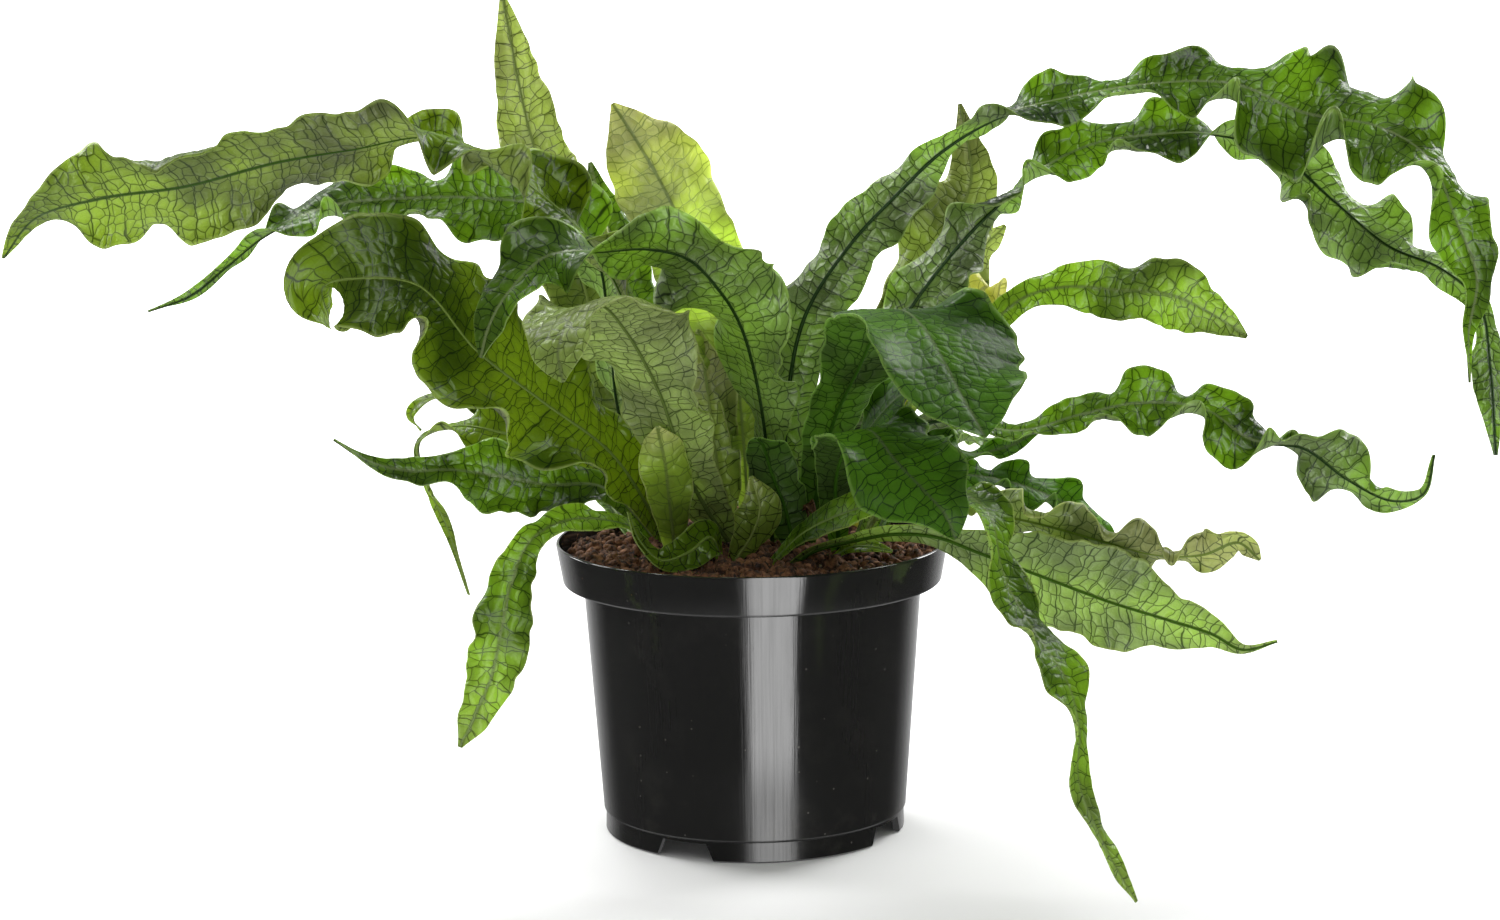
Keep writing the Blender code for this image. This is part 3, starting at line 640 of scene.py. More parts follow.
def makeSoil():
    # rings of points over the top, then down the pot's inner wall to its bottom
    bm = bmesh.new()
    look = soilLook
    spokes, rings = look["spokes"], look["rings"]
    outer = soilRadius - look["edgeGap"]
    seam = potLook["footHeight"] + 2 * potLook["wall"] + look["edgeGap"]
    ledge = potHeight - potLook["collarHeight"] + potLook["wall"]
    bodyTop = rimRadius - potLook["collarTaper"] - potLook["collarStep"] - potLook["wall"] - look["wallGap"]
    bodyLow = bodyTop - potLook["bodyTaper"] - look["lowGap"]
    inward, upward = look["footRound"]
    first, second = look["ledgeGaps"]
    levels = [(outer * (k / rings) ** look["crowding"], None) for k in range(1, rings + 1)]
    levels += [(outer - look["wallGap"], ledge + first), (bodyTop, ledge + second),
               (bodyLow, seam + upward), (bodyLow - inward, seam)]
    rows = []
    for radius, height in levels:
        row = []
        for k in range(spokes):
            angle = 2 * pi * k / spokes
            x, y = radius * cos(angle), radius * sin(angle)
            row.append(bm.verts.new((x, y, soilSurface(x, y) if height is None else height)))
        rows.append(row)
    top, bottom = bm.verts.new((0, 0, soilSurface(0, 0))), bm.verts.new((0, 0, seam))
    for k in range(spokes):
        nextOne = (k + 1) % spokes
        bm.faces.new((top, rows[0][k], rows[0][nextOne]))
        bm.faces.new((bottom, rows[-1][nextOne], rows[-1][k]))
        for inner, outside in zip(rows, rows[1:]):
            bm.faces.new((inner[k], outside[k], outside[nextOne], inner[nextOne]))
    mesh = meshFrom(bm, "soil_bed", smooth=True)
    paint(mesh, soilMaterial("peat bed"))
    addPiece("peat_soil", mesh, "peat", "soil")
    return mesh


def scatterTree():
    # strews copies of a shape over the upper faces of a mesh
    nodes, given, out = newGroup(
        "strewn", "GeometryNodeTree",
        {"Geometry": "Geometry", "Shape": "Object", "Density": "Float", "Smallest": "Float",
         "Largest": "Float", "Reach": "Float", "Seed": "Int", "Material": "Material"},
        {"Geometry": "Geometry"})
    facesUp = nodes.math("GREATER_THAN", nodes.split(nodes.normal())[2], soilLook["faceUp"])
    x, y = nodes.split(nodes.position())[:2]
    chosen = facesUp * nodes.math("LESS_THAN", nodes.math("SQRT", x * x + y * y), given["Reach"])
    points = nodes.value("GeometryNodeDistributePointsOnFaces", {
        "Mesh": given["Geometry"], "Selection": chosen, "Density": given["Density"], "Seed": given["Seed"]})
    spin = nodes.value("FunctionNodeRandomValue", {1: (2 * pi, 2 * pi, 2 * pi), "Seed": given["Seed"]},
                       data_type="FLOAT_VECTOR")
    inputs = {2: given["Smallest"], 3: given["Largest"], "Seed": given["Seed"]}
    size = nodes.value("FunctionNodeRandomValue", inputs, 1, data_type="FLOAT")
    shape = nodes.value("GeometryNodeObjectInfo", {"Object": given["Shape"]}, "Geometry")
    strewn = nodes.value("GeometryNodeInstanceOnPoints", {
        "Points": points, "Instance": shape, "Rotation": spin, "Scale": size})
    return nodes.ended(strewn, given["Material"], out)


def lump(size, seed):
    bm = bmesh.new()
    bmesh.ops.create_icosphere(bm, subdivisions=2, radius=1)
    for vert in bm.verts:
        swell = 1 + 0.45 * noise.noise(vert.co * 1.4 + Vector((seed, 0, 0)))
        vert.co = Vector(a * b for a, b in zip(vert.co * swell, size))
    return meshFrom(bm, "lump", smooth=True)


def strand(length, thickness, seed):
    # a thin bent strand with four sides
    random = np.random.default_rng(seed)
    bm = bmesh.new()
    rings = []
    for k in range(7):
        t = k / 6 - 0.5
        kink = length * 0.10 * random.uniform(-1, 1)
        centre = Vector((length * t, length * 0.22 * sin(4 * t + seed), kink))
        wide = thickness * (1 - 1.2 * abs(t) ** 2)
        around = [Vector((0, wide * cos(a), wide * sin(a))) for a in (0, pi / 2, pi, 1.5 * pi)]
        rings.append([bm.verts.new(centre + step) for step in around])
    for low, high in zip(rings, rings[1:]):
        for k in range(4):
            bm.faces.new((low[k], low[(k + 1) % 4], high[(k + 1) % 4], high[k]))
    bm.faces.new(rings[0][::-1])
    bm.faces.new(rings[-1])
    bmesh.ops.recalc_face_normals(bm, faces=bm.faces)
    return meshFrom(bm, "strand", smooth=True)


def strewSoil(bed):
    tree = scatterTree()
    area = pi * soilRadius**2
    for kind, bits in strewnBits.items():
        mesh = lump(*bits["lump"]) if "lump" in bits else strand(*bits["strand"])
        shape = linked(kind + " shape", mesh)
        material = soilMaterial(kind)
        values = {"Shape": shape, "Density": bits["count"] / area, "Smallest": bits["sizes"][0],
                  "Largest": bits["sizes"][1], "Reach": soilRadius - soilLook["keepOff"],
                  "Seed": bits["seed"], "Material": material}
        name = kind.replace(" ", "_")
        made = grow(name, bed, tree, values)
        bpy.data.objects.remove(shape)
        paint(made, material)
        made.shade_smooth()
        addPiece(name, made, "peat")


strewSoil(makeSoil())
print("stage: soil made")

# Each frond: (colour, ruffle in degrees, waves, cup in degrees, route). A route starts with its foot in
# the soil, as (x, y). Each further point is (x, y, height over the rim, half width, roll).
fronds = {
    "long_left_frond": ("mid", 62, 7, 5, [
        (-30, 5), (-45, 0, 70, 9, 10), (-70, -8, 139, 18, 20), (-110, -14, 179, 26, -25),
        (-146, -18, 198, 26, 20), (-187, -20, 193, 23, 35), (-223, -18, 187, 26, 60),
        (-266, -14, 176, 31, 62), (-308, -8, 170, 27, 60), (-341, -2, 160, 14, 30),
        (-357, 0, 141, 1, 30)]),
    "twisted_left_frond": ("dark", 62, 8, 5, [
        (-35, 25), (-63, 40, 53, 14, 20), (-68, 45, 97, 18, 30), (-75, 48, 136, 20, 20),
        (-94, 50, 155, 24, -35), (-129, 54, 161, 22, -52), (-169, 58, 161, 18, -50),
        (-206, 56, 158, 20, -42), (-237, 46, 145, 10, 10), (-254, 40, 132, 5, 30),
        (-273, 38, 117, 3, 60), (-294, 35, 110, 1, 0)]),
    "broad_left_frond": ("mid", 50, 5, 8, [
        (-40, 16), (-67, -20, 46, 19, -58), (-99, -38, 75, 31, -62), (-128, -50, 101, 33, -60),
        (-154, -58, 133, 32, -55), (-182, -62, 137, 27, -68), (-199, -48, 131, 19, -115),
        (-198, -34, 115, 8, -155)]),
    "low_left_frond": ("dark", 48, 4, 5, [
        (-45, 20), (-72, 5, 25, 8, -60), (-98, -8, 29, 16, -75), (-123, -15, 35, 20, -85),
        (-144, -20, 39, 8, -40), (-163, -22, 39, 8, -60), (-181, -25, 44, 4, -30),
        (-198, -28, 56, 1, 0)]),
    "curled_left_frond": ("mid", 42, 5, 5, [
        (-48, 38), (-84, 46, 37, 11, -40), (-119, 60, 42, 15, -60), (-147, 70, 45, 12, -20),
        (-166, 75, 37, 6, -10), (-165, 78, 19, 8, -50), (-154, 80, -8, 4, -60),
        (-144, 82, -44, 1, -60)]),
    "wispy_left_frond": ("mid", 35, 4, 5, [
        (-46, 56), (-95, 80, 41, 6, -30), (-128, 95, 50, 9, -40), (-150, 100, 56, 4, -20),
        (-166, 102, 53, 4, -40), (-173, 104, 45, 3, -60), (-168, 105, 37, 1, 0)]),
    "over_rim_left_frond": ("fresh", 35, 5, 5, [
        (-45, -25), (-54, -36, 11, 6, -20), (-66, -46, 18, 8, -30), (-87, -58, 21, 8, -30),
        (-103, -69, 14, 7, -40), (-112, -78, -4, 11, -50), (-117, -84, -25, 14, -60),
        (-122, -88, -47, 12, -60), (-130, -92, -65, 8, -60), (-137, -94, -79, 1, -60)]),
    "hooked_soil_leaf": ("mid", 15, 1, 8, [
        (-15, -27), (-20, -38, 8, 10, -50), (-30, -49, 3, 9, -60), (-43, -57, 1, 6, -60),
        (-53, -57, 11, 4, -60), (-58, -54, 24, 1, -60)]),
    "spoon_leaf": ("lime", 12, 2, -5, [
        (-37, -13), (-39, -22, 20, 10, 8), (-41, -32, 44, 12, 8), (-43, -36, 55, 8, 8),
        (-44, -40, 62, 1, 8)]),
    "grey_arching_frond": ("grey", 24, 3, 0, [
        (-8, 2), (-20, -7, 14, 12, 5), (-30, -20, 36, 16, 5), (-43, -52, 82, 23, 8),
        (-58, -88, 117, 30, 12), (-68, -113, 131, 30, 18), (-78, -132, 130, 28, 20),
        (-85, -146, 115, 18, 10), (-83, -150, 101, 1, 5)]),
    "centre_arching_frond": ("dark", 34, 5, 5, [
        (11, 6), (8, -8, 50, 15, -6), (3, -21, 84, 21, 2), (-4, -37, 110, 26, 18),
        (-14, -54, 129, 28, 34), (-28, -66, 145, 25, 42), (-46, -74, 151, 23, 34),
        (-67, -80, 151, 22, 5), (-92, -82, 149, 20, -25), (-111, -89, 132, 14, -20),
        (-119, -92, 118, 8, -20), (-123, -94, 104, 1, -20)]),
    "small_front_leaf": ("pale", 8, 1, -8, [
        (-9, -29), (0, -33, 8, 10, 20), (4, -35, 21, 11, 20), (0, -37, 37, 1, 20)]),
    "dark_front_leaf": ("deep", 16, 2, 5, [
        (21, -20), (16, -22, 19, 11, 0), (10, -25, 36, 13, -5), (6, -31, 51, 9, -10),
        (3, -38, 56, 1, -10)]),
    "pale_inner_leaf": ("pale", 18, 3, 5, [
        (-12, 26), (-17, 30, 34, 12, 0), (-21, 34, 68, 14, 0), (-25, 38, 97, 1, 0)]),
    "tall_pale_frond": ("pale", 22, 7, 0, [
        (-42, 46), (-55, 56, 26, 10, 0), (-66, 66, 54, 15, 0), (-73, 74, 76, 18, 0),
        (-83, 84, 115, 19, 0), (-94, 93, 150, 20, 0), (-107, 101, 182, 17, 5),
        (-114, 106, 212, 12, 5), (-118, 109, 235, 8, 0), (-122, 111, 258, 1, 0)]),
    "second_pale_frond": ("lime", 20, 6, 0, [
        (-1, 30), (-4, 34, 48, 8, 20), (-7, 40, 77, 14, 20), (-17, 46, 111, 21, 10),
        (-30, 52, 141, 24, 5), (-42, 58, 166, 26, 5), (-54, 62, 187, 18, 10),
        (-66, 64, 206, 1, 20)]),
    "back_left_leaf": ("dark", 34, 5, 5, [
        (-18, 72), (-51, 104, 82, 12, 0), (-71, 120, 137, 12, 0), (-80, 126, 171, 1, 0)]),
    "long_right_frond": ("dark", 66, 10, 5, [
        (18, 10), (18, 14, 56, 12, -120), (27, 20, 104, 18, -112), (49, 26, 138, 16, -118),
        (73, 30, 163, 15, -112), (95, 33, 184, 9, -60), (122, 35, 200, 15, 10),
        (157, 36, 209, 16, 26), (196, 34, 215, 15, 30), (235, 26, 215, 22, 50),
        (267, 12, 202, 31, 62), (301, -4, 196, 29, 40), (322, -20, 182, 20, 30),
        (333, -32, 154, 16, 60), (342, -38, 128, 12, 60), (338, -42, 102, 4, 40),
        (339, -44, 79, 1, 0)]),
    "second_right_frond": ("dark", 62, 10, 5, [
        (31, 24), (54, 40, 61, 12, -135), (77, 52, 99, 17, -128), (97, 60, 125, 17, -120),
        (117, 66, 147, 16, -60), (140, 70, 167, 15, 25), (170, 72, 182, 14, 50),
        (202, 70, 187, 17, 40), (234, 66, 187, 12, -10), (261, 59, 178, 14, -75),
        (287, 50, 155, 21, -125), (312, 36, 134, 19, -130), (336, 22, 124, 10, -130),
        (352, 10, 109, 6, -120), (356, -2, 79, 9, -100), (358, -10, 38, 1, -100)]),
    "pale_right_frond": ("pale", 26, 4, 0, [
        (34, 44), (60, 75, 60, 12, 0), (83, 95, 103, 16, -10), (99, 105, 132, 22, -15),
        (113, 112, 160, 14, -10), (111, 116, 183, 6, -10), (108, 120, 199, 1, 0)]),
    "back_right_pale_leaf": ("pale", 26, 4, 5, [
        (44, 58), (72, 92, 43, 9, 20), (98, 110, 91, 13, 30), (115, 116, 121, 14, 35),
        (131, 118, 137, 1, 30)]),
    "yellow_leaf": ("yellow", 18, 2, 5, [
        (47, 40), (69, 58, 47, 5, 0), (95, 69, 88, 7, 10), (108, 75, 102, 13, 15),
        (120, 80, 111, 11, 20), (128, 84, 103, 1, 20)]),
    "broad_right_frond": ("deep", 18, 3, 5, [
        (26, -4), (38, -28, 58, 13, -8), (51, -54, 92, 18, -8), (60, -76, 115, 25, -6),
        (69, -96, 124, 35, -5), (78, -115, 119, 45, -4), (86, -133, 107, 44, -4),
        (93, -149, 94, 31, -4), (99, -160, 84, 17, -4), (103, -167, 77, 1, -4)]),
    "low_dark_right_frond": ("deep", 20, 3, 5, [
        (42, -12), (40, -38, 36, 10, -6), (47, -72, 61, 19, 0), (55, -100, 69, 25, 6),
        (66, -122, 58, 28, 8), (78, -136, 47, 23, 8), (87, -143, 37, 13, 8),
        (91, -146, 27, 1, 8)]),
    "upper_right_frond": ("fresh", 30, 6, 0, [
        (50, 18), (76, 30, 57, 4, 20), (109, 24, 90, 6, 40), (131, 14, 113, 8, 60),
        (152, 6, 120, 10, 60), (178, 0, 119, 16, 62), (202, -5, 117, 17, 65),
        (221, -8, 108, 11, 65), (238, -10, 97, 1, 60)]),
    "wavy_right_frond": ("dark", 58, 9, 5, [
        (52, 4), (84, -5, 56, 7, -50), (129, -10, 53, 7, 30), (158, -14, 61, 10, 40),
        (186, -18, 67, 17, 50), (217, -22, 64, 13, 30), (238, -25, 50, 18, 50),
        (263, -28, 46, 15, -60), (284, -30, 31, 17, -60), (305, -32, 21, 7, -50),
        (319, -33, 24, 4, -40), (324, -34, 43, 1, -40)]),
    "twisted_right_leaf": ("deep", 42, 4, 5, [
        (60, 26), (78, 42, 27, 8, 20), (94, 52, 34, 12, 30), (111, 58, 30, 7, 10),
        (129, 62, 33, 5, 60), (145, 64, 41, 1, 60)]),
    "shaded_right_frond": ("deep", 45, 5, 5, [
        (60, 42), (84, 56, 15, 7, 20), (107, 64, 18, 9, 30), (134, 70, 12, 13, 40),
        (155, 74, 3, 14, 40), (173, 76, -7, 10, 40), (185, 77, -21, 1, 40)]),
    "grey_right_frond": ("pale", 52, 7, 5, [
        (50, -6), (65, -22, 19, 9, 20), (90, -38, 23, 10, 0), (117, -52, 20, 13, -50),
        (144, -62, 15, 15, -60), (167, -68, 9, 15, -60), (190, -73, 4, 13, -40),
        (210, -77, 5, 10, -50), (226, -80, 11, 12, -60), (236, -82, 3, 1, -60)]),
    "bright_right_frond": ("fresh", 13, 4, 0, [
        (17, -38), (29, -41, 2, 6, -20), (46, -44, 7, 6, -30), (67, -48, 11, 6, -50),
        (87, -52, 10, 7, -60), (107, -56, 3, 14, -60), (140, -63, -9, 26, -70),
        (167, -67, -19, 25, -70), (193, -70, -27, 18, -72), (215, -73, -34, 8, -75),
        (229, -75, -41, 3, -60), (245, -76, -37, 1, -40)]),
    "long_drooping_frond": ("fresh", 22, 7, 5, [
        (8, -36), (24, -46, 11, 8, 48), (44, -58, 23, 11, 48), (65, -72, 31, 11, 36),
        (83, -88, 36, 12, 20), (98, -108, 40, 12, 0), (108, -128, 33, 14, -10),
        (113, -143, 9, 13, -10), (126, -156, -14, 15, -10), (139, -168, -33, 14, -10),
        (144, -177, -53, 9, -15), (143, -184, -74, 8, -15), (152, -190, -98, 8, -15),
        (160, -194, -114, 6, -15), (168, -196, -127, 1, -15)]),
    "tiny_soil_leaf": ("mid", 8, 1, 5, [
        (38, -24), (47, -27, 0, 5, 20), (58, -31, 1, 5, 20), (67, -32, -1, 1, 20)]),
    "shaded_inner_leaf": ("deep", 22, 3, 5, [
        (42, 8), (52, 9, 42, 13, 10), (70, 7, 66, 18, 20), (84, 5, 76, 13, 20),
        (94, 4, 80, 1, 20)]),
    "gap_leaf": ("mid", 26, 3, 5, [
        (14, 46), (18, 65, 47, 11, 0), (19, 78, 76, 11, 0), (20, 82, 88, 1, 0)]),
    "back_frond": ("mid", 30, 5, 5, [
        (4, 66), (5, 92, 54, 14, 0), (1, 124, 88, 20, 0), (-6, 156, 102, 20, 0),
        (-12, 184, 95, 12, 0), (-15, 198, 78, 1, 0)]),
    "back_left_frond": ("mid", 34, 5, 5, [
        (-32, 70), (-50, 103, 45, 13, 0), (-70, 136, 74, 19, 0), (-93, 168, 83, 19, 0),
        (-111, 194, 68, 1, 0)]),
    "back_right_frond": ("dark", 34, 5, 5, [
        (26, 74), (52, 108, 40, 13, 0), (76, 140, 62, 18, 0), (100, 172, 66, 17, 0),
        (120, 196, 52, 1, 0)]),
    "low_back_left_frond": ("dark", 34, 4, 5, [
        (-58, 40), (-86, 100, 18, 9, 0), (-108, 136, 30, 14, 0), (-128, 166, 32, 13, 0),
        (-147, 192, 20, 1, 0)]),
    "low_back_right_frond": ("dark", 34, 4, 5, [
        (58, 58), (90, 92, 22, 9, 0), (114, 118, 28, 12, 0), (138, 142, 16, 1, 0)]),
    "withered_scrap": ("brown", 40, 2, 20, [
        (25, -10), (26, -17, 12, 2, 0), (27, -22, 21, 3, 30), (30, -26, 17, 1, 40)]),
}

# stretches of a blade where the ruffles are calmer or wilder: (from, to, share) along its length
stretches = {
    "long_left_frond": (0.58, 1.0, 0.45), "twisted_left_frond": (0.0, 1.0, 0.8),
    "broad_left_frond": (0.50, 1.0, 0.5),
}

# places where one margin curls over: (where along the blade, how far, which half, degrees)
curls = {
    "long_left_frond": [(0.765, 0.045, 1, -60)],
    "long_right_frond": [(0.16, 0.12, 1, 75)],
    "second_right_frond": [(0.20, 0.11, 1, 60)],
}

# upright blades that show their top (-1) or their underside (1) to the front
facing = {
    "tall_pale_frond": -1, "second_pale_frond": -1, "pale_inner_leaf": -1, "back_left_leaf": -1,
    "gap_leaf": -1, "pale_right_frond": -1, "back_right_pale_leaf": -1, "yellow_leaf": -1,
    "small_front_leaf": -1, "dark_front_leaf": 1, "spoon_leaf": -1,
}

frondLook = {
    "rowStep": 0.0012, "columnStep": 0.0013, "columns": (6, 28), "thickness": 0.0006,
    "stalkHalfWidth": 3.5, "leastHalfWidth": 0.6 * mm, "footDepth": 0.002, "clearance": 0.0006,
    "ruffleBend": 2.1, "ruffleShare": 0.78, "ruffleWander": 0.35, "phaseStep": 2.4, "edgeLag": 2.7,
    "swellFrom": 0.1, "swellOver": 0.25, "tipShare": 0.08, "stretchFade": 0.08,
    "outlineWander": 0.085, "lobePitch": 0.014, "toothPitch": 0.0055, "toothShare": 0.6,
    "ripple": 0.0011, "ripplePitch": 0.011, "pucker": 0.00036, "calmWidth": (0.0008, 0.004),
    "rippleWidth": (0.002, 0.012), "calmMargin": (0.99, 0.80), "bulge": (0.6, 0.8),
    "groove": 0.0003, "grooveWidth": 0.0016, "ribFoot": 0.0013, "ribTip": 0.00035, "ribShare": 0.30,
    "ribExtra": 0.0002, "raisedRib": 0.0002, "sunkRib": 0.0008, "ribSides": 8,
}
rimGuard = {"inside": 0.0035, "wall": 0.002, "below": 0.005}


def splineThrough(places, values, wanted):
    # a smooth curve through the values, which pass through their places
    slopes = np.gradient(values, places, axis=0)
    index = np.clip(np.searchsorted(places, wanted, side="right") - 1, 0, len(places) - 2)
    step = places[index + 1] - places[index]
    t = (wanted - places[index]) / step
    if values.ndim > 1:
        step, t = step[:, None], t[:, None]
    return ((2 * t**3 - 3 * t**2 + 1) * values[index] + (t**3 - 2 * t**2 + t) * step * slopes[index]
            + (3 * t**2 - 2 * t**3) * values[index + 1] + (t**3 - t**2) * step * slopes[index + 1])


def unit(vectors):
    return vectors / np.linalg.norm(vectors, axis=1)[:, None]


def lengthAlong(points):
    return np.concatenate([[0], np.cumsum(np.linalg.norm(np.diff(points, axis=0), axis=1))])


def stationsOf(route):
    foot, first = route[0], route[1]
    stalk = min(frondLook["stalkHalfWidth"], 0.5 * first[3] + 1)
    table = np.array([(*foot, 0, stalk, first[4])] + list(route[1:]), float)
    table[:, :4] *= mm
    table[:, 2] += potHeight
    table[0, 2] = soilTop(np.hypot(*table[0, :2])) - frondLook["footDepth"]
    table[:, 4] = np.radians(table[:, 4])
    return table


def midrib(route, turned):
    # the midrib's line with its sideways and upward directions, the half width, and the length
    table = stationsOf(route)
    steps = np.linalg.norm(np.diff(table[:, :3], axis=0), axis=1)
    places = np.concatenate([[0], np.cumsum(np.sqrt(steps))])
    fine = np.linspace(0, places[-1], 600)
    length = lengthAlong(splineThrough(places, table[:, :3], fine))
    rows = max(24, round(length[-1] / frondLook["rowStep"]))
    wanted = np.interp(np.linspace(0, length[-1], rows), length, fine)
    line = splineThrough(places, table[:, :3], wanted)
    half = np.maximum(splineThrough(places, table[:, 3], wanted), frondLook["leastHalfWidth"])
    turn = splineThrough(places, table[:, 4], wanted)[:, None]
    ahead = unit(np.gradient(line, axis=0))
    heading = table[-1, :2] - table[0, :2]
    level = np.array([-heading[1], heading[0], 0]) / np.linalg.norm(heading)
    if turned:
        level = np.array([turned, 0, 0])
    side = unit(level - (ahead @ level)[:, None] * ahead)
    up = np.cross(ahead, side)
    return (line, np.cos(turn) * side + np.sin(turn) * up, np.cos(turn) * up - np.sin(turn) * side,
            half, length[-1])


def wander(random, rows, length, pitch):
    # a smooth random line from -1 to 1 with a turn about every pitch metres
    knots = max(4, round(length / pitch) + 3)
    values = random.uniform(-1, 1, knots)
    return splineThrough(np.arange(knots, dtype=float), values, np.linspace(0, knots - 1.001, rows))


def ruffles(name, number, half, length):
    # for the left and the right half of the blade, the tilt and the width at each row
    ruffle, waves, cup = fronds[name][1:4]
    look = frondLook
    random = np.random.default_rng(100 + number)
    rows = len(half)
    a = np.linspace(0, 1, rows)
    swell = np.clip((a - look["swellFrom"]) / look["swellOver"], 0, 1)
    swell *= np.clip(1.3 * half / half.max(), 0, 1)
    swell *= np.sqrt(np.clip((1 - a) / look["tipShare"], 0, 1))
    start, end, share = stretches.get(name, (0, 1, 1))
    fade = look["stretchFade"]
    inside = np.clip((a - start) / fade + 0.5, 0, 1) * np.clip((end - a) / fade + 0.5, 0, 1)
    swell *= 1 + (share - 1) * inside
    pitch = length / max(waves, 1)
    sides = []
    for hand, lag in enumerate((look["edgeLag"], 0.0)):
        drift = look["ruffleWander"] * wander(random, rows, length, 0.8 * pitch)
        wave = 2 * pi * waves * a + look["phaseStep"] * number + lag + 1.6 * drift
        small = 0.22 * np.sin(2.3 * wave + 5 * number) + 0.25 * wander(random, rows, length, 0.3 * pitch)
        tilt = radians(cup) + radians(look["ruffleShare"] * ruffle) * (np.sin(wave) + small) * swell
        for place, reach, which, turn in curls.get(name, ()):
            if which == hand:
                tilt = tilt + radians(turn) * np.exp(-((a - place) / reach) ** 2)
        lobes = wander(random, rows, length, look["lobePitch"])
        teeth = wander(random, rows, length, look["toothPitch"])
        outline = look["outlineWander"] * (lobes + look["toothShare"] * teeth)
        sides.append((tilt, half * (1 + outline * np.clip(half / (8 * mm), 0, 1))))
    return sides


def rowsMesh(name, line, side, up, half, sides, length):
    # a line of points that carries what the two geometry trees read
    look = frondLook
    mesh = bpy.data.meshes.new(name + "_rows")
    rows = len(line)
    mesh.from_pydata([tuple(point) for point in line], [(k, k + 1) for k in range(rows - 1)], [])
    reach = np.linspace(0, 1, rows)
    rib = np.interp(reach, [0, 0.25, 1], [look["ribFoot"], 0.7 * look["ribFoot"], look["ribTip"]])
    rib = np.minimum(rib, look["ribShare"] * half + look["ribExtra"])
    (tiltLeft, widthLeft), (tiltRight, widthRight) = sides
    marks = {"side": side, "up": up, "tiltLeft": tiltLeft, "tiltRight": tiltRight, "widthLeft": widthLeft,
             "widthRight": widthRight, "reach": reach, "along": reach * length, "rib": rib}
    for label, values in marks.items():
        kind, field = ("FLOAT", "value") if values.ndim == 1 else ("FLOAT_VECTOR", "vector")
        layer = mesh.attributes.new(label, kind, "POINT")
        layer.data.foreach_set(field, values.astype(np.float32).ravel())
    return mesh


def makeBladeTree():
    look = frondLook
    nodes, given, out = newGroup(
        "frondBlade", "GeometryNodeTree",
        {"Geometry": "Geometry", "Rows": "Int", "Columns": "Int", "Age": "Float", "Ripple": "Float",
         "Pucker": "Float", "Material": "Material"},
        {"Geometry": "Geometry"})
    grid = nodes.value("GeometryNodeMeshGrid", {
        "Size X": 2.0, "Size Y": 1.0, "Vertices X": given["Columns"], "Vertices Y": given["Rows"]})
    # a grid laid along the rows faces down, so it is turned over
    blade = nodes.value("GeometryNodeFlipFaces", {"Mesh": grid})
    x, y = nodes.split(nodes.position())[:2]
    row = nodes.math("ROUND", (y + 0.5) * (given["Rows"] - 1.0))

    def sampled(value, kind):
        inputs = {"Geometry": given["Geometry"], "Index": row}
        node = nodes.add("GeometryNodeSampleIndex", inputs, data_type=kind, clamp=True)
        nodes.put(node.inputs["Value"], value)
        return Value(nodes, node.outputs["Value"])

    def rowValue(label, kind="FLOAT"):
        return sampled(nodes.named(label, kind), kind)

    isRight = nodes.math("GREATER_THAN", x, 0.0)

    def ofHalf(label):
        return rowValue(label + "Right") * isRight + rowValue(label + "Left") * (1.0 - isRight)

    # columns are closer together near the midrib
    size = nodes.math("ABSOLUTE", x)
    size = size * (0.8 + size * 0.2)
    hand = nodes.math("SIGN", x)
    tilt = ofHalf("tilt")
    width = ofHalf("width") * size
    across, along = width * hand, rowValue("along")
    # the marks that the materials read
    blade = nodes.store(blade, "strip", nodes.vector(across, along), "FLOAT2", "CORNER")
    blade = nodes.store(blade, "blade", nodes.vector(size * hand, rowValue("reach"), given["Age"]))
    blade = nodes.store(blade, "place", nodes.vector(across, along, width))
    # the blade's cross-section, an arc on each side of the midrib
    bend = tilt * nodes.math("POWER", size, look["ruffleBend"])
    ratio = across / look["grooveWidth"]
    dip = nodes.math("EXPONENT", -(ratio * ratio))
    lift = width * nodes.math("SINE", bend) - dip * look["groove"]
    sideways = nodes.scaled(rowValue("side", "FLOAT_VECTOR"), across * nodes.math("COSINE", bend))
    position = nodes.vectorMath("ADD", sampled(nodes.position(), "FLOAT_VECTOR"), sideways)
    position = nodes.vectorMath("ADD", position, nodes.scaled(rowValue("up", "FLOAT_VECTOR"), lift))
    blade = nodes.moved(blade, "Position", position)
    # puckers between the veins and small ripples along the margins, out along the blade's normal
    across, along, width = nodes.split(nodes.named("place", "FLOAT_VECTOR"))
    edge = nodes.split(nodes.named("blade", "FLOAT_VECTOR"))[0]
    size = nodes.math("ABSOLUTE", edge)
    shift = nodes.math("FLOOR", given["Age"]) * veins["ownPart"]
    lateral, cross, cell = veinNet(nodes, across, along, shift)
    room = nodes.smooth(size, *look["calmMargin"]) * nodes.smooth(width, *look["calmWidth"])
    least, most = look["bulge"]
    bulge = cellBulge(nodes, lateral, cross) * (room * given["Pucker"]) * (least + cell * most)
    ripplePlace = nodes.vector(edge * 0.9 + shift * 9.0, along / look["ripplePitch"])
    room = nodes.math("POWER", size, 3.0) * nodes.smooth(width, *look["rippleWidth"])
    ripple = (nodes.noise(ripplePlace, 1.0, 1.0) - 0.5) * room * given["Ripple"]
    blade = nodes.moved(blade, "Offset", nodes.scaled(nodes.normal(), bulge + ripple * 3.0))
    blade = nodes.value("GeometryNodeSetShadeSmooth", {"Geometry": blade})
    return nodes.ended(blade, given["Material"], out)


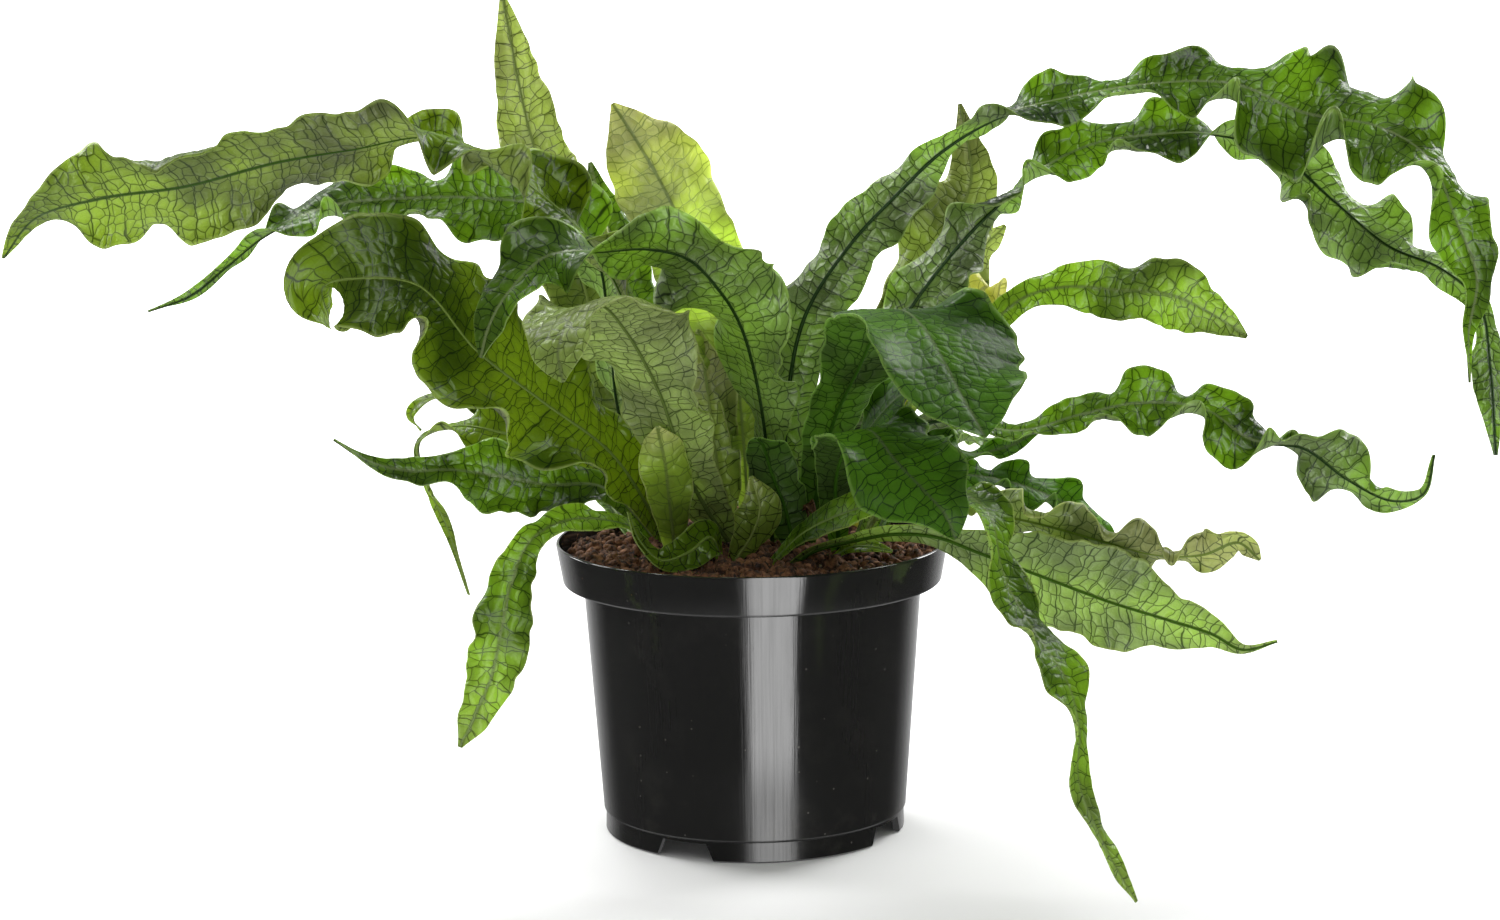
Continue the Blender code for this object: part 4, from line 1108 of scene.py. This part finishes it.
def makeRibTree():
    nodes, given, out = newGroup(
        "frondRib", "GeometryNodeTree",
        {"Geometry": "Geometry", "Sink": "Float", "Age": "Float", "Material": "Material"},
        {"Geometry": "Geometry"})
    up, reach, along = nodes.named("up", "FLOAT_VECTOR"), nodes.named("reach"), nodes.named("along")
    rib = nodes.moved(given["Geometry"], "Offset", nodes.scaled(up, -given["Sink"]))
    rib = nodes.store(rib, "blade", nodes.vector(0.0, reach, given["Age"]))
    curve = nodes.value("GeometryNodeMeshToCurve", {"Mesh": rib})
    inputs = {"Resolution": frondLook["ribSides"], "Radius": 1.0}
    ring = nodes.value("GeometryNodeCurvePrimitiveCircle", inputs)
    rib = nodes.value("GeometryNodeCurveToMesh", {
        "Curve": curve, "Profile Curve": ring, "Scale": nodes.named("rib"), "Fill Caps": True})
    # the rib is pale on the blade's top and dark below
    above = nodes.vectorMath("DOT_PRODUCT", nodes.normal(), up, "Value")
    rib = nodes.store(rib, "blade", nodes.vector(above * 0.5, reach, given["Age"]))
    rib = nodes.store(rib, "strip", nodes.vector(0.0, along), "FLOAT2", "CORNER")
    rib = nodes.value("GeometryNodeSetShadeSmooth", {"Geometry": rib})
    return nodes.ended(rib, given["Material"], out)


bladeTree = makeBladeTree()
ribTree = makeRibTree()


def keepClear(mesh):
    # lifts a blade off the pot's rim, and moves it off the pot's wall
    points = np.empty(len(mesh.vertices) * 3, np.float32)
    mesh.vertices.foreach_get("co", points)
    points = points.reshape(-1, 3).astype(float)
    radius = np.hypot(points[:, 0], points[:, 1])
    gap = frondLook["clearance"]
    nearRim = (radius > rimRadius - rimGuard["inside"]) & (radius < rimRadius + gap)
    onRim = nearRim & (points[:, 2] > potHeight - rimGuard["below"])
    points[onRim, 2] = np.maximum(points[onRim, 2], potHeight + gap)
    below = nearRim & ~onRim & (radius > rimRadius - rimGuard["wall"])
    points[below, :2] *= ((rimRadius + gap) / radius[below])[:, None]
    mesh.vertices.foreach_set("co", points.astype(np.float32).ravel())
    mesh.update()


def joined(blade, rib, materials):
    bm = bmesh.new()
    bm.from_mesh(blade)
    count = len(bm.faces)
    bm.from_mesh(rib)
    bm.faces.ensure_lookup_table()
    for face in bm.faces[count:]:
        face.material_index = len(materials) - 1
    mesh = meshFrom(bm, "joined")
    paint(mesh, *materials)
    return mesh


def makeFrond(name, number):
    look = frondLook
    family, route = fronds[name][0], fronds[name][-1]
    line, side, up, half, length = midrib(route, facing.get(name, 0))
    sides = ruffles(name, number, half, length)
    rows = rowsMesh(name, line, side, up, half, sides, length)
    materials = leafMaterials[family]
    age = number + 0.05 + 0.9 * np.random.default_rng(number).random()
    columns = 2 * int(np.clip(round(half.max() / look["columnStep"]), *look["columns"])) + 1
    pucker = look["pucker"] * leafColours[family].get("pucker", 1.0)
    sheet = grow(name + "_sheet", rows, bladeTree, {
        "Rows": len(line), "Columns": columns, "Age": age, "Ripple": look["ripple"], "Pucker": pucker,
        "Material": materials[0]})
    paint(sheet, *materials)
    obj = linked(name + "_solid", sheet)
    solidify = obj.modifiers.new("thickness", "SOLIDIFY")
    solidify.thickness = look["thickness"]
    solidify.offset = 0
    solidify.material_offset, solidify.material_offset_rim = 1, 2
    blade = settled(obj)
    keepClear(blade)
    sink = look["raisedRib"] if family in ("mid", "pale") else look["sunkRib"]
    rib = grow(name + "_rib", rows, ribTree, {"Sink": sink, "Age": age, "Material": materials[-1]})
    addPiece(name + "_blade", joined(blade, rib, materials), leafSlots[family], name)


for number, name in enumerate(fronds):
    makeFrond(name, number)
blades = [obj for obj in collection.objects if obj.name.endswith("_blade")]
print("stage: fronds made,", sum(len(obj.data.polygons) for obj in blades), "faces")

# The floor, the light and the camera. Each soft box is (name, place, width, height, watts).
studio = {
    "floorRadius": 3.0, "floorSides": 96, "floorFade": (0.7, 1.8), "floorShade": 0.86, "floorGrain": 0.02,
    "floorScale": 3.0, "floorDrop": 0.0002,
    "behind": 2.60, "overhead": 0.50, "around": 0.27, "ceiling": 0.08, "wall": 1.10, "below": 0.85,
    "everywhere": 0.03, "stripHeight": 8.0, "stripFrom": -1.5, "stripTo": 29.5,
    "lens": 94.26, "sensor": 36.0, "farthest": 30.0, "cameraPlace": (-0.0011, -1.869, 0.512),
    "cameraTurn": -0.02, "cameraPitch": 10.05, "cameraRoll": -0.69, "aim": (0, 0, 0.25),
}
softBoxes = [
    ("soft box above", (-0.4, 1.1, 1.6), 0.5, 0.5, 14),
    ("soft box behind right", (1.2, 1.1, 1.3), 0.7, 1.2, 30),
    ("soft box behind left", (-1.3, 0.9, 1.2), 0.7, 1.2, 28),
]


def makeFloor():
    bm = bmesh.new()
    bmesh.ops.create_circle(bm, cap_ends=True, segments=studio["floorSides"], radius=studio["floorRadius"])
    material, nodes, surface = newMaterial("pale floor")
    place = nodes.objectPlace()
    grain = studio["floorGrain"]
    shade = (studio["floorShade"] - grain / 2) + nodes.noise(place, studio["floorScale"]) * grain
    plain = nodes.value("ShaderNodeBsdfDiffuse", {"Color": nodes.vector(shade, shade, shade)})
    fade = nodes.smooth(nodes.vectorMath("LENGTH", place, output="Value"), *studio["floorFade"])
    clear = nodes.value("ShaderNodeBsdfTransparent")
    nodes.put(surface, nodes.value("ShaderNodeMixShader", {0: fade, 1: plain, 2: clear}))
    mesh = meshFrom(bm, "floor")
    paint(mesh, material)
    floor = linked("floor", mesh)
    floor.location.z = -studio["floorDrop"]
    floor.visible_glossy = False


def makeWorld():
    world = bpy.data.worlds.new("studio")
    bpy.context.scene.world = world
    world.use_nodes = True
    world.node_tree.nodes.clear()
    nodes = Nodes(world.node_tree)
    x, y, z = nodes.split(nodes.value("ShaderNodeTexCoord", output="Generated"))
    path = nodes.add("ShaderNodeLightPath").outputs
    isGlossy, isCamera = Value(nodes, path["Is Glossy Ray"]), Value(nodes, path["Is Camera Ray"])
    # what gloss mirrors: dark in front, a white wall behind, a soft ceiling and one upright soft box
    white = studio["wall"]
    wall = nodes.smooth(y, 0.50, 0.90) * nodes.smooth(z, -0.38, -0.10, 0.25 * white, white)
    ceiling = nodes.smooth(z, 0.35, 0.85) * studio["ceiling"]
    ceiling = ceiling + nodes.smooth(z, -0.38, -0.72, 0.0, studio["below"])
    azimuth = nodes.math("ARCTAN2", x, -y)
    low, high = radians(studio["stripFrom"]), radians(studio["stripTo"])
    strip = nodes.smooth(azimuth, low - 0.10, low + 0.04) * nodes.smooth(azimuth, high + 0.008, high - 0.008)
    strip = strip * nodes.smooth(z, -0.75, -0.45, 0.30, 1.0) * studio["stripHeight"]
    mirrored = nodes.math("MAXIMUM", wall, ceiling) + strip + studio["everywhere"]
    # what lights matt surfaces, brightest from behind the plant
    spread = nodes.smooth(y, 0.0, 0.9, studio["around"], studio["behind"])
    spread = spread + nodes.smooth(z, 0.25, 0.95, 0.0, studio["overhead"])
    light = nodes.math("MAXIMUM", mirrored * isGlossy + spread * (1.0 - isGlossy), isCamera)
    inputs = {"Color": nodes.vector(light, light, light), "Strength": 1.0}
    back = nodes.value("ShaderNodeBackground", inputs)
    nodes.put(nodes.add("ShaderNodeOutputWorld").inputs["Surface"], back)


def addSoftBox(name, place, width, height, power):
    light = bpy.data.lights.new(name, "AREA")
    light.shape = "RECTANGLE"
    light.size, light.size_y = width, height
    light.energy = power
    obj = linked(name, light)
    obj.location = place
    obj.rotation_euler = (Vector(studio["aim"]) - Vector(place)).to_track_quat("-Z", "Y").to_euler()
    obj.visible_camera = False


def addCamera():
    data = bpy.data.cameras.new("camera")
    data.lens, data.sensor_width, data.clip_end = studio["lens"], studio["sensor"], studio["farthest"]
    camera = linked("camera", data)
    turn = Matrix.Rotation(radians(studio["cameraTurn"]), 4, "Z")
    turn = turn @ Matrix.Rotation(radians(90 - studio["cameraPitch"]), 4, "X")
    turn = turn @ Matrix.Rotation(radians(studio["cameraRoll"]), 4, "Z")
    camera.matrix_world = Matrix.Translation(studio["cameraPlace"]) @ turn
    bpy.context.scene.camera = camera


makeFloor()
makeWorld()
for box in softBoxes:
    addSoftBox(*box)
addCamera()
bpy.context.scene.view_settings.view_transform = "Standard"
print("stage: floor, light and camera placed")
